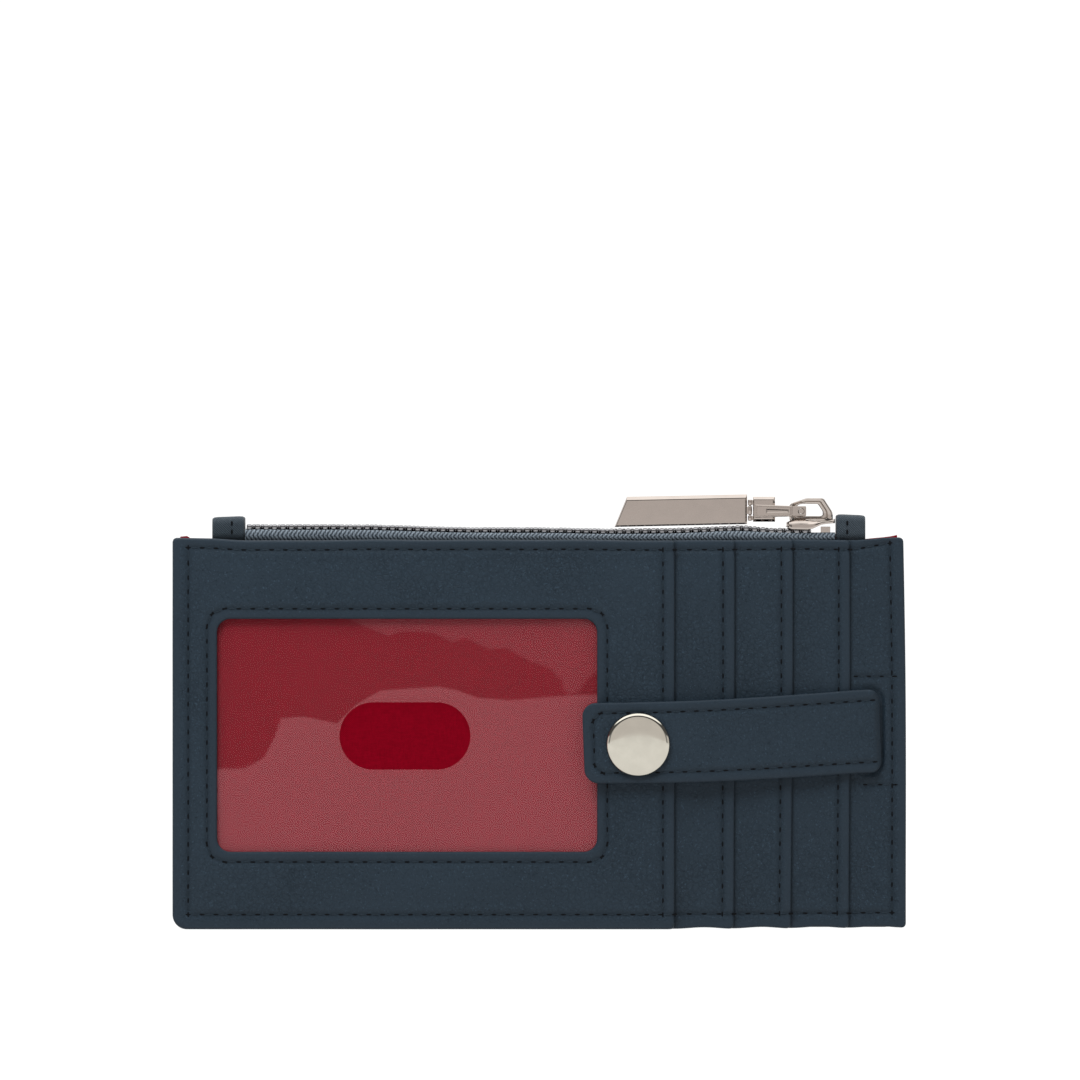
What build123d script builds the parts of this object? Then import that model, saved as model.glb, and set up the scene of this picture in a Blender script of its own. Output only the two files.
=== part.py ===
from build123d import *

import os

# Zip-top card holder, upright: a coin pouch behind four side-loading card pockets,
# the first with a clear window, and a snap strap across the pocket edges.

os.makedirs("parts", exist_ok=True)

# How far a cut or a blank reaches past the piece that it shapes.
OVERRUN = 1.0

# Outline of the wallet, in millimetres. X is to the viewer's right, Z is up, the front faces -Y.
WIDTH = 152.0
FRONT_HEIGHT = 80.5
LINING_HEIGHT = 81.4
BACK_HEIGHT = 81.8
SOFT_CORNER = 3.0
CORNER = 0.9
RIGHT = WIDTH / 2
LEFT = -RIGHT

# Thickness of each material.
WINDOW_LEATHER = 0.8
POCKET_LEATHER = 0.5
BASE_LEATHER = 0.6
BACK_LEATHER = 0.8
LINING = 0.15
FILM = 0.2
STIFFENER = 0.4
CARD_GAP = 0.8
WINDOW_GAP = 1.0
POUCH_GAP = 4.6
HEM = 4.0
MITRE_GAP = 0.1
POUCH_SEAM = 7.9

# Free right-hand edge of the window panel and of each card panel behind it.
POCKET_EDGES = [27.8, 40.2, 52.2, 64.2]
LINING_SETBACK = 1.0

# Depth of each layer's front face behind the front face of the window panel.
FILM_DEPTH = WINDOW_LEATHER
CARD_DEPTHS = [WINDOW_LEATHER + WINDOW_GAP + LINING]
for _ in POCKET_EDGES[1:]:
    CARD_DEPTHS.append(CARD_DEPTHS[-1] + POCKET_LEATHER + CARD_GAP + LINING)
BASE_DEPTH = CARD_DEPTHS[3]
FRONT_LAYER_DEPTH = BASE_DEPTH + BASE_LEATHER
FRONT_LINING_DEPTH = FRONT_LAYER_DEPTH + STIFFENER
POUCH_DEPTH = FRONT_LINING_DEPTH + LINING
BACK_LINING_DEPTH = POUCH_DEPTH + POUCH_GAP
BACK_LAYER_DEPTH = BACK_LINING_DEPTH + LINING
BACK_DEPTH = BACK_LAYER_DEPTH + STIFFENER
BACK_FACE = BACK_DEPTH + BACK_LEATHER
CHAIN_DEPTH = POUCH_DEPTH + POUCH_GAP / 2

# Window and the thumb slot in its film.
WINDOW_LEFT = -66.7
WINDOW_RIGHT = 11.8
WINDOW_BOTTOM = 16.1
WINDOW_TOP = 64.2
WINDOW_CORNER = 2.8
FILM_MARGIN = 4.0
THUMB_SLOT = (27.0, 13.9)
THUMB_SLOT_CENTRE = (-27.9, 40.0)

# Strap: a band across the pocket edges, tilted up towards its root on the right.
STRAP_TIP = 8.9
STRAP_ROOT = 70.6
STRAP_BEND = 31.0
STRAP_HEIGHT = 16.9
STRAP_MIDDLE = 39.85
STRAP_TILT = 2.1
STRAP_CORNER = 2.9
STRAP_LINING = 0.5
STRAP_LEATHER = 0.9
STRAP_BACK = -1.4
STRAP_ROOT_BACK = 5.7
SLIT_X = 71.3
SLIT_WIDTH = 0.8
SLIT_RISE = 1.1
TAIL_LEFT = 62.0
TAIL_RIGHT = 74.0
TAIL_BOTTOM = 27.5
TAIL_TOP = 54.5

# Snap fastener, on one axis through the strap and the window panel.
SNAP_X = 20.2
SNAP_Z = 38.4
CAP_RADIUS = 6.6
CAP_HEIGHT = 1.8
CAP_RIM = 0.5
SHANK_RADIUS = 1.5
SOCKET_RADIUS = 5.2
SOCKET_BORE = 2.2
SOCKET_HEIGHT = 0.95
STUD_RADIUS = 4.5
STUD_FLANGE = 0.3
STUD_POST = 1.8
STUD_HEIGHT = 1.35
RIVET_RADIUS = 4.0
RIVET_HEAD = 0.4
RIVET_SHANK = 1.0

# Zip chain along the top: two rows of metal teeth on the folded-in edges of the tape.
TEETH_BOTTOM = 81.4
TEETH_TOP = 83.0
TOOTH_PITCH = 1.75
TOOTH_LEG_WIDTH = 1.15
TOOTH_HEAD_WIDTH = 0.8
TOOTH_OUTER = 2.3
TOOTH_NECK = 0.9
TOOTH_REACH = 0.55
TEETH_START = -60.4
TEETH_PER_ROW = 67
TAPE = STIFFENER
TAPE_TOP = 82.4
TAPE_INNER = 1.2
TAPE_OUTER = POUCH_GAP / 2 + LINING + TAPE
TAPE_SEWN_BOTTOM = 70.5
TAPE_BEND = 0.35
CHAIN_END = 61.3

# Folded cloth tabs over the two ends of the chain.
LEFT_TAB = (-68.1, -61.4, 85.5)
RIGHT_TAB = (61.6, 67.6, 85.9)
TAB_ROUND = 1.2

# Slider, from its left end at rest, and the loop that carries the puller.
SLIDER_LEFT = 51.2
SLIDER_RIGHT = 61.3
SLIDER_CORNER = 1.2
SLIDER_BEVEL = 0.3
SLIDER_HALF_NARROW = 3.2
SLIDER_HALF_WIDE = 3.6
SLIDER_PLATE_BOTTOM = 83.1
SLIDER_PLATE_TOP = 84.3
SLIDER_FLANGE_BOTTOM = 82.6
SLIDER_FLANGE_INNER = 3.0
SLIDER_UNDER_TOP = 81.3
SLIDER_UNDER_BOTTOM = 80.35
SLIDER_UNDER_HALF = 2.2
SLIDER_UNDER_CORNER = 1.0
WEDGE_LEFT = 58.0
WEDGE_RIGHT = 60.6
WEDGE_HALF = 0.6
LOOP_HALF = 0.95
LOOP_OUTER = [
    (51.9, SLIDER_PLATE_TOP),
    (60.9, SLIDER_PLATE_TOP),
    (60.9, 86.2),
    (59.0, 89.2),
    (55.4, 89.2),
    (51.9, 88.0),
]
LOOP_HOLE = [(53.5, 85.5), (58.8, 85.5), (58.8, 86.5), (57.8, 88.0), (54.3, 88.0), (53.5, 87.7)]
LOOP_CORNER = 0.9

# Link: a forked clip on the loop, and the puller bar hinged to its far end.
CROSS_PIN_X = 54.3
CROSS_PIN_Z = 86.5
CROSS_PIN_RADIUS = 0.55
RUNNING_GAP = 0.05
ARM_INNER = 1.15
ARM_OUTER = 1.75
ARM_HALF_NEAR = 1.05
ARM_HALF_FAR = 1.35
ARM_START = 44.7
CLIP_LEFT = 44.3
CLIP_RIGHT = 48.9
CLIP_BOTTOM = 84.3
CLIP_TOP = 89.5
CLIP_BEVEL = 0.3
BAR_PIN_X = 43.7
BAR_PIN_RADIUS = 0.22
KNUCKLE_RADIUS = 0.45
KNUCKLE_ZS = [84.5, 85.6, 87.7, 88.9]
KNUCKLE_GAP = 0.1
BAR_OUTLINE = [(15.5, 83.4), (43.1, 83.9), (43.1, 90.0), (18.1, 89.5)]
BAR_THICKNESS = 1.4
BAR_BEVEL = 0.3

# The stack is centred front to back on the whole object, snap cap included.
CAP_FACE = STRAP_BACK - STRAP_LINING - STRAP_LEATHER - CAP_HEIGHT
Y_SHIFT = -(CAP_FACE + BACK_FACE) / 2
CHAIN_Y = CHAIN_DEPTH + Y_SHIFT


def at_depth(depth):
    """Plane that faces the viewer, at this depth behind the window panel's face."""
    return Plane.XZ.offset(-(depth + Y_SHIFT))


def save(piece, label):
    """Names the piece and writes its STEP file."""
    piece.part.label = label
    export_step(piece.part, f"parts/{label}.step")


def rectangle(left, right, bottom, top):
    """Rectangle in the open sketch, by its four sides."""
    with Locations(((left + right) / 2, (bottom + top) / 2)):
        Rectangle(right - left, top - bottom)


def panel_outline(sketch, right, top):
    """Outline of a panel that reaches the left and bottom edges of the wallet."""
    rectangle(LEFT, right, 0, top)
    lower_left = sketch.vertices().group_by(Axis.X)[0].sort_by(Axis.Y)[0]
    fillet(lower_left, SOFT_CORNER)
    others = sketch.vertices().group_by(Axis.Y)[-1]
    fillet(others, CORNER)


def panel(label, depth, thickness, right, top):
    """Flat panel of the wallet's outline, up to its own right-hand edge."""
    with BuildPart() as piece:
        with BuildSketch(at_depth(depth)) as outline:
            panel_outline(outline, right, top)
        extrude(amount=-thickness)
    save(piece, label)


def sheet(label, depth, thickness, left, right, bottom, top):
    """Flat rectangular layer inside the seams."""
    with BuildPart() as piece:
        with BuildSketch(at_depth(depth)):
            rectangle(left, right, bottom, top)
        extrude(amount=-thickness)
    save(piece, label)


def hem(label, depth, thickness, right):
    """Turned leather edge behind a pocket panel: left, bottom and top strips, as separate solids."""
    strips = [
        (LEFT, LEFT + HEM, HEM + MITRE_GAP, FRONT_HEIGHT - HEM - MITRE_GAP),
        (LEFT + SOFT_CORNER, right, 0, HEM),
        (LEFT + CORNER, right, FRONT_HEIGHT - HEM, FRONT_HEIGHT),
    ]
    with BuildPart() as piece:
        with BuildSketch(at_depth(depth)):
            for strip in strips:
                rectangle(*strip)
        extrude(amount=-thickness)
    save(piece, label)


def snap_disc(depth, radius, thickness, mode=Mode.ADD):
    """Round layer of the snap fastener in the open part, from a front depth backwards."""
    with BuildSketch(at_depth(depth)) as disc:
        with Locations((SNAP_X, SNAP_Z)):
            Circle(radius)
    extrude(disc.sketch, amount=-thickness, mode=mode)


# ---- Pockets ----

with BuildPart() as window_panel:
    with BuildSketch(at_depth(0)) as window_outline:
        panel_outline(window_outline, POCKET_EDGES[0], FRONT_HEIGHT)
        with Locations(((WINDOW_LEFT + WINDOW_RIGHT) / 2, (WINDOW_BOTTOM + WINDOW_TOP) / 2)):
            RectangleRounded(
                WINDOW_RIGHT - WINDOW_LEFT, WINDOW_TOP - WINDOW_BOTTOM, WINDOW_CORNER, mode=Mode.SUBTRACT
            )
    extrude(amount=-WINDOW_LEATHER)
    snap_disc(0, RIVET_SHANK, WINDOW_LEATHER, Mode.SUBTRACT)
save(window_panel, "window_panel")

with BuildPart() as window_film:
    with BuildSketch(at_depth(FILM_DEPTH)):
        rectangle(
            WINDOW_LEFT - FILM_MARGIN,
            WINDOW_RIGHT + FILM_MARGIN,
            WINDOW_BOTTOM - FILM_MARGIN,
            WINDOW_TOP + FILM_MARGIN,
        )
        with Locations(THUMB_SLOT_CENTRE):
            SlotOverall(*THUMB_SLOT, mode=Mode.SUBTRACT)
    extrude(amount=-FILM)
save(window_film, "window_film")

hem("window_panel_hem", WINDOW_LEATHER, WINDOW_GAP + LINING, POCKET_EDGES[0])

for number, edge in enumerate(POCKET_EDGES[1:]):
    card_depth = CARD_DEPTHS[number]
    panel(f"card_panel_{number + 1}", card_depth, POCKET_LEATHER, edge, FRONT_HEIGHT)
    hem(f"card_panel_{number + 1}_hem", card_depth + POCKET_LEATHER, CARD_GAP + LINING, edge)

for number, edge in enumerate(POCKET_EDGES):
    sheet(
        f"pocket_lining_{number + 1}",
        CARD_DEPTHS[number] - LINING,
        LINING,
        LEFT + HEM,
        edge - LINING_SETBACK,
        HEM,
        FRONT_HEIGHT - HEM,
    )

with BuildPart() as base_panel:
    with BuildSketch(at_depth(BASE_DEPTH)) as base_outline:
        panel_outline(base_outline, RIGHT, FRONT_HEIGHT)
        with Locations(Location((SLIT_X, STRAP_MIDDLE + SLIT_RISE), -STRAP_TILT)):
            Rectangle(SLIT_WIDTH, STRAP_HEIGHT + OVERRUN, mode=Mode.SUBTRACT)
    extrude(amount=-BASE_LEATHER)
save(base_panel, "base_panel")

# ---- Coin pouch ----

with BuildPart() as front_stiffener:
    with BuildSketch(at_depth(FRONT_LAYER_DEPTH)):
        rectangle(LEFT + SOFT_CORNER, RIGHT - CORNER, 0, TAPE_SEWN_BOTTOM)
        with Locations(((TAIL_LEFT + RIGHT) / 2, (TAIL_BOTTOM + TAIL_TOP) / 2)):
            Rectangle(RIGHT - TAIL_LEFT, TAIL_TOP - TAIL_BOTTOM, mode=Mode.SUBTRACT)
    extrude(amount=-STIFFENER)
save(front_stiffener, "front_stiffener")

sheet("strap_tail", FRONT_LAYER_DEPTH, STIFFENER, TAIL_LEFT, TAIL_RIGHT, TAIL_BOTTOM, TAIL_TOP)
sheet(
    "zip_tape_front",
    FRONT_LAYER_DEPTH,
    TAPE,
    LEFT + CORNER,
    RIGHT - CORNER,
    TAPE_SEWN_BOTTOM,
    FRONT_HEIGHT,
)
panel("front_lining", FRONT_LINING_DEPTH, LINING, RIGHT, FRONT_HEIGHT)

with BuildPart() as pouch_seam:
    with BuildSketch(at_depth(POUCH_DEPTH)):
        rectangle(LEFT + CORNER, LEFT + POUCH_SEAM, HEM + MITRE_GAP, FRONT_HEIGHT)
        rectangle(RIGHT - POUCH_SEAM, RIGHT - CORNER, HEM + MITRE_GAP, FRONT_HEIGHT)
        rectangle(LEFT + SOFT_CORNER, RIGHT - CORNER, 0, HEM)
    extrude(amount=-POUCH_GAP)
save(pouch_seam, "pouch_seam")

panel("back_lining", BACK_LINING_DEPTH, LINING, RIGHT, LINING_HEIGHT)
sheet("back_stiffener", BACK_LAYER_DEPTH, STIFFENER, LEFT + SOFT_CORNER, RIGHT - CORNER, 0, TAPE_SEWN_BOTTOM)
sheet(
    "zip_tape_rear",
    BACK_LAYER_DEPTH,
    TAPE,
    LEFT + CORNER,
    RIGHT - CORNER,
    TAPE_SEWN_BOTTOM,
    LINING_HEIGHT,
)
panel("back_panel", BACK_DEPTH, BACK_LEATHER, RIGHT, BACK_HEIGHT)

# ---- Zip ----


def zip_row(name, side, fold, first_tooth):
    """One side of the chain. side is -1 for the front row and 1 for the rear row."""
    with BuildPart() as tape_edge:
        with BuildSketch(Plane.YZ.offset(-CHAIN_END)) as section:
            with BuildLine():
                Polyline(
                    (CHAIN_Y + side * TAPE_OUTER, fold),
                    (CHAIN_Y + side * TAPE_OUTER, TAPE_TOP),
                    (CHAIN_Y + side * TAPE_INNER, TAPE_TOP),
                    (CHAIN_Y + side * TAPE_INNER, TAPE_TOP - TAPE),
                    (CHAIN_Y + side * (TAPE_OUTER - TAPE), TAPE_TOP - TAPE),
                    (CHAIN_Y + side * (TAPE_OUTER - TAPE), fold),
                    close=True,
                )
            make_face()
            bend = section.vertices().group_by(Axis.Y)[-1].sort_by(Axis.X)[0 if side < 0 else -1]
            fillet(bend, TAPE_BEND)
        extrude(amount=2 * CHAIN_END)
    save(tape_edge, f"zip_tape_edge_{name}")

    leg = TOOTH_LEG_WIDTH / 2
    head = TOOTH_HEAD_WIDTH / 2
    with BuildPart() as teeth:
        with BuildSketch(Plane.XY.offset(TEETH_BOTTOM)):
            with GridLocations(TOOTH_PITCH, 0, TEETH_PER_ROW, 1) as row:
                half_row = TOOTH_PITCH * (TEETH_PER_ROW - 1) / 2
            with Locations(*[(first_tooth + half_row + spot.position.X, CHAIN_Y) for spot in row]):
                Polygon(
                    (-leg, side * TOOTH_OUTER),
                    (leg, side * TOOTH_OUTER),
                    (leg, side * TOOTH_NECK),
                    (head, side * TOOTH_NECK),
                    (head, -side * TOOTH_REACH),
                    (-head, -side * TOOTH_REACH),
                    (-head, side * TOOTH_NECK),
                    (-leg, side * TOOTH_NECK),
                    align=None,
                )
        extrude(amount=TEETH_TOP - TEETH_BOTTOM)
        with BuildSketch(Plane.YZ.offset(-CHAIN_END)):
            with Locations((CHAIN_Y + side * (TAPE_INNER + TOOTH_OUTER) / 2, TAPE_TOP - TAPE / 2)):
                Rectangle(TOOTH_OUTER - TAPE_INNER, TAPE)
        extrude(amount=2 * CHAIN_END, mode=Mode.SUBTRACT)
    save(teeth, f"zip_teeth_{name}")


zip_row("front", -1, FRONT_HEIGHT, TEETH_START)
zip_row("rear", 1, LINING_HEIGHT, TEETH_START + TOOTH_PITCH / 2)


def end_tab(label, left, right, top):
    """Folded cloth tab over one end of the chain, stepped to sit on both tapes."""
    inner = POUCH_GAP / 2
    with BuildPart() as tab:
        with BuildSketch(Plane.YZ.offset(left)) as section:
            with BuildLine():
                Polyline(
                    (CHAIN_Y - TAPE_OUTER, FRONT_HEIGHT),
                    (CHAIN_Y + inner, FRONT_HEIGHT),
                    (CHAIN_Y + inner, LINING_HEIGHT),
                    (CHAIN_Y + TAPE_OUTER, LINING_HEIGHT),
                    (CHAIN_Y + TAPE_OUTER, top),
                    (CHAIN_Y - TAPE_OUTER, top),
                    close=True,
                )
            make_face()
            fillet(section.vertices().group_by(Axis.Y)[-1], TAB_ROUND)
        extrude(amount=right - left)
    save(tab, label)


end_tab("zip_end_tab_left", *LEFT_TAB)
end_tab("zip_end_tab_right", *RIGHT_TAB)

with BuildPart() as slider_body:
    with BuildSketch(Plane.XY.offset(SLIDER_FLANGE_BOTTOM)) as slider_plan:
        with BuildLine():
            Polyline(
                (SLIDER_LEFT, CHAIN_Y - SLIDER_HALF_NARROW),
                (SLIDER_RIGHT, CHAIN_Y - SLIDER_HALF_WIDE),
                (SLIDER_RIGHT, CHAIN_Y + SLIDER_HALF_WIDE),
                (SLIDER_LEFT, CHAIN_Y + SLIDER_HALF_NARROW),
                close=True,
            )
        make_face()
        fillet(slider_plan.vertices(), SLIDER_CORNER)
    extrude(amount=SLIDER_PLATE_TOP - SLIDER_FLANGE_BOTTOM)
    chamfer(slider_body.faces().sort_by(Axis.Z)[-1].edges(), SLIDER_BEVEL)
    with BuildSketch(Plane.XY.offset(SLIDER_FLANGE_BOTTOM)):
        with Locations(((SLIDER_LEFT + SLIDER_RIGHT) / 2, CHAIN_Y)):
            Rectangle(SLIDER_RIGHT - SLIDER_LEFT + OVERRUN, 2 * SLIDER_FLANGE_INNER)
    extrude(amount=SLIDER_PLATE_BOTTOM - SLIDER_FLANGE_BOTTOM, mode=Mode.SUBTRACT)
    with BuildSketch(Plane.XY.offset(SLIDER_UNDER_BOTTOM)):
        with Locations(((SLIDER_LEFT + SLIDER_RIGHT) / 2, CHAIN_Y)):
            RectangleRounded(SLIDER_RIGHT - SLIDER_LEFT, 2 * SLIDER_UNDER_HALF, SLIDER_UNDER_CORNER)
    extrude(amount=SLIDER_UNDER_TOP - SLIDER_UNDER_BOTTOM)
    with BuildSketch(Plane.XY.offset(SLIDER_UNDER_TOP)):
        with BuildLine():
            Polyline(
                (WEDGE_LEFT, CHAIN_Y),
                (WEDGE_RIGHT, CHAIN_Y - WEDGE_HALF),
                (WEDGE_RIGHT, CHAIN_Y + WEDGE_HALF),
                close=True,
            )
        make_face()
    extrude(amount=SLIDER_PLATE_BOTTOM - SLIDER_UNDER_TOP)
save(slider_body, "slider_body")

with BuildPart() as slider_loop:
    with BuildSketch(at_depth(CHAIN_DEPTH)) as loop_side:
        with BuildLine():
            Polyline(*LOOP_OUTER, close=True)
        make_face()
        fillet(loop_side.vertices().group_by(Axis.Y)[-1], LOOP_CORNER)
        with BuildLine():
            Polyline(*LOOP_HOLE, close=True)
        make_face(mode=Mode.SUBTRACT)
    extrude(amount=LOOP_HALF, both=True)
save(slider_loop, "slider_loop")

# ---- Puller ----

with BuildPart() as link_cross_pin:
    with BuildSketch(at_depth(CHAIN_DEPTH)):
        with Locations((CROSS_PIN_X, CROSS_PIN_Z)):
            Circle(CROSS_PIN_RADIUS)
    extrude(amount=ARM_OUTER, both=True)
save(link_cross_pin, "link_cross_pin")

with BuildPart() as puller_link:
    with BuildSketch(at_depth(CHAIN_DEPTH)):
        with BuildLine():
            Polyline(
                (ARM_START, CROSS_PIN_Z - ARM_HALF_FAR),
                (CROSS_PIN_X, CROSS_PIN_Z - ARM_HALF_NEAR),
                (CROSS_PIN_X, CROSS_PIN_Z + ARM_HALF_NEAR),
                (ARM_START, CROSS_PIN_Z + ARM_HALF_FAR),
                close=True,
            )
        make_face()
        with Locations((CROSS_PIN_X, CROSS_PIN_Z)):
            Circle(ARM_HALF_NEAR)
            Circle(CROSS_PIN_RADIUS + RUNNING_GAP, mode=Mode.SUBTRACT)
    extrude(amount=ARM_OUTER, both=True)
    with BuildSketch(at_depth(CHAIN_DEPTH)):
        rectangle(CLIP_RIGHT, CROSS_PIN_X + 2 * ARM_HALF_NEAR, CLIP_BOTTOM, CLIP_TOP)
    extrude(amount=ARM_INNER, both=True, mode=Mode.SUBTRACT)
    with BuildSketch(at_depth(CHAIN_DEPTH)):
        rectangle(CLIP_LEFT, CLIP_RIGHT, CLIP_BOTTOM, CLIP_TOP)
    extrude(amount=ARM_INNER, both=True)
    chamfer(puller_link.edges().filter_by(Axis.X).group_by(Axis.Z)[-1], CLIP_BEVEL)
    for low, high in (KNUCKLE_ZS[:2], KNUCKLE_ZS[2:]):
        with BuildSketch(Plane.XY.offset(low)):
            with Locations((BAR_PIN_X, CHAIN_Y)):
                Circle(KNUCKLE_RADIUS)
            with Locations(((BAR_PIN_X + CLIP_LEFT) / 2, CHAIN_Y)):
                Rectangle(CLIP_LEFT - BAR_PIN_X, 2 * KNUCKLE_RADIUS)
            with Locations((BAR_PIN_X, CHAIN_Y)):
                Circle(BAR_PIN_RADIUS, mode=Mode.SUBTRACT)
        extrude(amount=high - low)
save(puller_link, "puller_link")

with BuildPart() as bar_pin:
    with BuildSketch(Plane.XY.offset(KNUCKLE_ZS[0])):
        with Locations((BAR_PIN_X, CHAIN_Y)):
            Circle(BAR_PIN_RADIUS)
    extrude(amount=KNUCKLE_ZS[3] - KNUCKLE_ZS[0])
save(bar_pin, "bar_pin")

with BuildPart() as puller_bar:
    with BuildSketch(at_depth(CHAIN_DEPTH)):
        with BuildLine():
            Polyline(*BAR_OUTLINE, close=True)
        make_face()
    extrude(amount=BAR_THICKNESS / 2, both=True)
    chamfer(puller_bar.faces().sort_by(Axis.Y)[0].edges(), BAR_BEVEL)
    chamfer(puller_bar.faces().sort_by(Axis.Y)[-1].edges(), BAR_BEVEL)
    with BuildSketch(Plane.XY.offset(KNUCKLE_ZS[1] + KNUCKLE_GAP)):
        with Locations((BAR_PIN_X, CHAIN_Y)):
            Circle(KNUCKLE_RADIUS)
        with Locations((BAR_PIN_X - KNUCKLE_RADIUS, CHAIN_Y)):
            Rectangle(2 * KNUCKLE_RADIUS, 2 * KNUCKLE_RADIUS)
        with Locations((BAR_PIN_X, CHAIN_Y)):
            Circle(BAR_PIN_RADIUS + RUNNING_GAP, mode=Mode.SUBTRACT)
    extrude(amount=KNUCKLE_ZS[2] - KNUCKLE_ZS[1] - 2 * KNUCKLE_GAP)
save(puller_bar, "puller_bar")

# ---- Strap and snap ----


def strap_band(label, depth, thickness, hole):
    """Band of the strap: flat over the window panel, then sloping back to the slit at its root."""
    fall = STRAP_ROOT_BACK - STRAP_BACK
    front = [(STRAP_TIP - OVERRUN, depth), (STRAP_BEND, depth), (STRAP_ROOT + OVERRUN, depth + fall)]
    back = [(x, y + thickness) for x, y in reversed(front)]
    with BuildPart() as band:
        with BuildSketch(Plane.XY):
            with BuildLine():
                Polyline(*[(x, y + Y_SHIFT) for x, y in front + back], close=True)
            make_face()
        extrude(amount=FRONT_HEIGHT)
        with BuildSketch(at_depth(CAP_FACE)) as outline:
            with Locations(Location(((STRAP_TIP + STRAP_ROOT) / 2, STRAP_MIDDLE), STRAP_TILT)):
                Rectangle(STRAP_ROOT - STRAP_TIP, STRAP_HEIGHT)
            fillet(outline.vertices().sort_by(Axis.X)[:2], STRAP_CORNER)
        extrude(amount=-BACK_FACE, mode=Mode.INTERSECT)
        snap_disc(CAP_FACE, hole, BACK_FACE, Mode.SUBTRACT)
    save(band, label)


strap_band("strap_lining", STRAP_BACK - STRAP_LINING, STRAP_LINING, SHANK_RADIUS)
strap_band("strap_outer", STRAP_BACK - STRAP_LINING - STRAP_LEATHER, STRAP_LEATHER, SHANK_RADIUS)

with BuildPart() as snap_cap:
    snap_disc(CAP_FACE, CAP_RADIUS, CAP_HEIGHT)
    fillet(snap_cap.faces().sort_by(Axis.Y)[0].edges(), CAP_HEIGHT - CAP_RIM)
    snap_disc(CAP_FACE + CAP_HEIGHT, SHANK_RADIUS, STRAP_LEATHER + STRAP_LINING)
save(snap_cap, "snap_cap")

with BuildPart() as snap_socket:
    snap_disc(STRAP_BACK, SOCKET_RADIUS, SOCKET_HEIGHT)
    snap_disc(STRAP_BACK, SOCKET_BORE, SOCKET_HEIGHT, Mode.SUBTRACT)
save(snap_socket, "snap_socket")

with BuildPart() as snap_stud:
    snap_disc(-STUD_FLANGE, STUD_RADIUS, STUD_FLANGE)
    snap_disc(-STUD_HEIGHT, STUD_POST, STUD_HEIGHT)
    snap_disc(-STUD_HEIGHT / 2, RIVET_SHANK, STUD_HEIGHT / 2, Mode.SUBTRACT)
save(snap_stud, "snap_stud")

with BuildPart() as snap_stud_rivet:
    snap_disc(WINDOW_LEATHER, RIVET_RADIUS, RIVET_HEAD)
    snap_disc(-STUD_HEIGHT / 2, RIVET_SHANK, WINDOW_LEATHER + STUD_HEIGHT / 2)
save(snap_stud_rivet, "snap_stud_rivet")
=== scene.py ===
"""Looks of the zip card holder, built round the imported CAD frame, in millimetres until a mesh is made."""

import math

import bpy
import numpy as np
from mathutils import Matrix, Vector


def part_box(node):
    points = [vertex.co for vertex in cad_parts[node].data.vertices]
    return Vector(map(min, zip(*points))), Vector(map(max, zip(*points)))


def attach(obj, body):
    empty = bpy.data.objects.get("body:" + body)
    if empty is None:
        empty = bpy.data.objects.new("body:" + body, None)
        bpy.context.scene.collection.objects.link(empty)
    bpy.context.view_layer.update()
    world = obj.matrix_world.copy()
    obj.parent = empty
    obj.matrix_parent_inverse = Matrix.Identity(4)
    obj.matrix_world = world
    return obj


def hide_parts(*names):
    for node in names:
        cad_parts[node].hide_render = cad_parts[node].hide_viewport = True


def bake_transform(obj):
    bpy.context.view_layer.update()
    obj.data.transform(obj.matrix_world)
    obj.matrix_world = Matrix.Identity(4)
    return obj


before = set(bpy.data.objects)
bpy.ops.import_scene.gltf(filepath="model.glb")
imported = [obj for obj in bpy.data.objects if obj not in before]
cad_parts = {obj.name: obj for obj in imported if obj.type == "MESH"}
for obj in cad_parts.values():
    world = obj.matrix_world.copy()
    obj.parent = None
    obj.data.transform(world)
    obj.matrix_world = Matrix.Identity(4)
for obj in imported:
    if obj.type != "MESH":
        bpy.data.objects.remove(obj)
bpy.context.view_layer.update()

MM = 0.001


def box(node):
    """Lowest and highest corner of a CAD node, in millimetres."""
    low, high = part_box(node)
    return np.array(low) / MM, np.array(high) / MM


# ---- Sizes, from the CAD ----

PANELS = ["window_panel", "card_panel_1", "card_panel_2", "card_panel_3", "base_panel"]
PANEL_EDGES = [box(name)[1][0] for name in PANELS]
PANEL_FACES = [box(name)[0][1] for name in PANELS]
LEFT, BACK_TOP = box("back_panel")[0][0], box("back_panel")[1][2]
RIGHT, BACK_FACE = box("back_panel")[1][0], box("back_panel")[1][1]
FRONT_TOP = box("base_panel")[1][2]
CHAIN_Y = (box("puller_bar")[0][1] + box("puller_bar")[1][1]) / 2
DEPTH_ZERO = PANEL_FACES[0]

# Window and thumb slot.
WINDOW = (-66.7, 11.8, 16.1, 64.2)
WINDOW_CORNER = 2.8
SLOT = (-41.4, -14.4, 33.05, 46.95)
FILM = tuple(box("window_film")[end][axis] for axis in (0, 2) for end in (0, 1))

# Corner radii of a panel: top right, top left, bottom left, bottom right.
SOFT_CORNERS = (0.9, 0.9, 3.0, 0.9)

# How far each panel is pulled back where it is sewn down, and how far in from the seam that reaches.
SEAM_PULL = (0.8, 0.6, 0.4, 0.2, 0.0)
SEAM_REACH_SIDE = 10.0
SEAM_REACH_END = 12.0
BACK_PULL = 4.2
BACK_REACH_SIDE = 16.0
BACK_REACH_END = 14.0
UNEVEN = 0.10

# How far each panel bows forward to the free edge of the panel in front of it.
BOW = (0.0, 0.75, 0.42, 0.42, 0.42)
BOW_REACH = 3.6

# How the sewn body has settled out of its flat outline.
RIGHT_LEAN = 0.6
EDGE_LEAN = 0.22
SCALLOP = 0.3
SCALLOP_HEIGHT = 4.0
CORNER_RISE = 0.55

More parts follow.
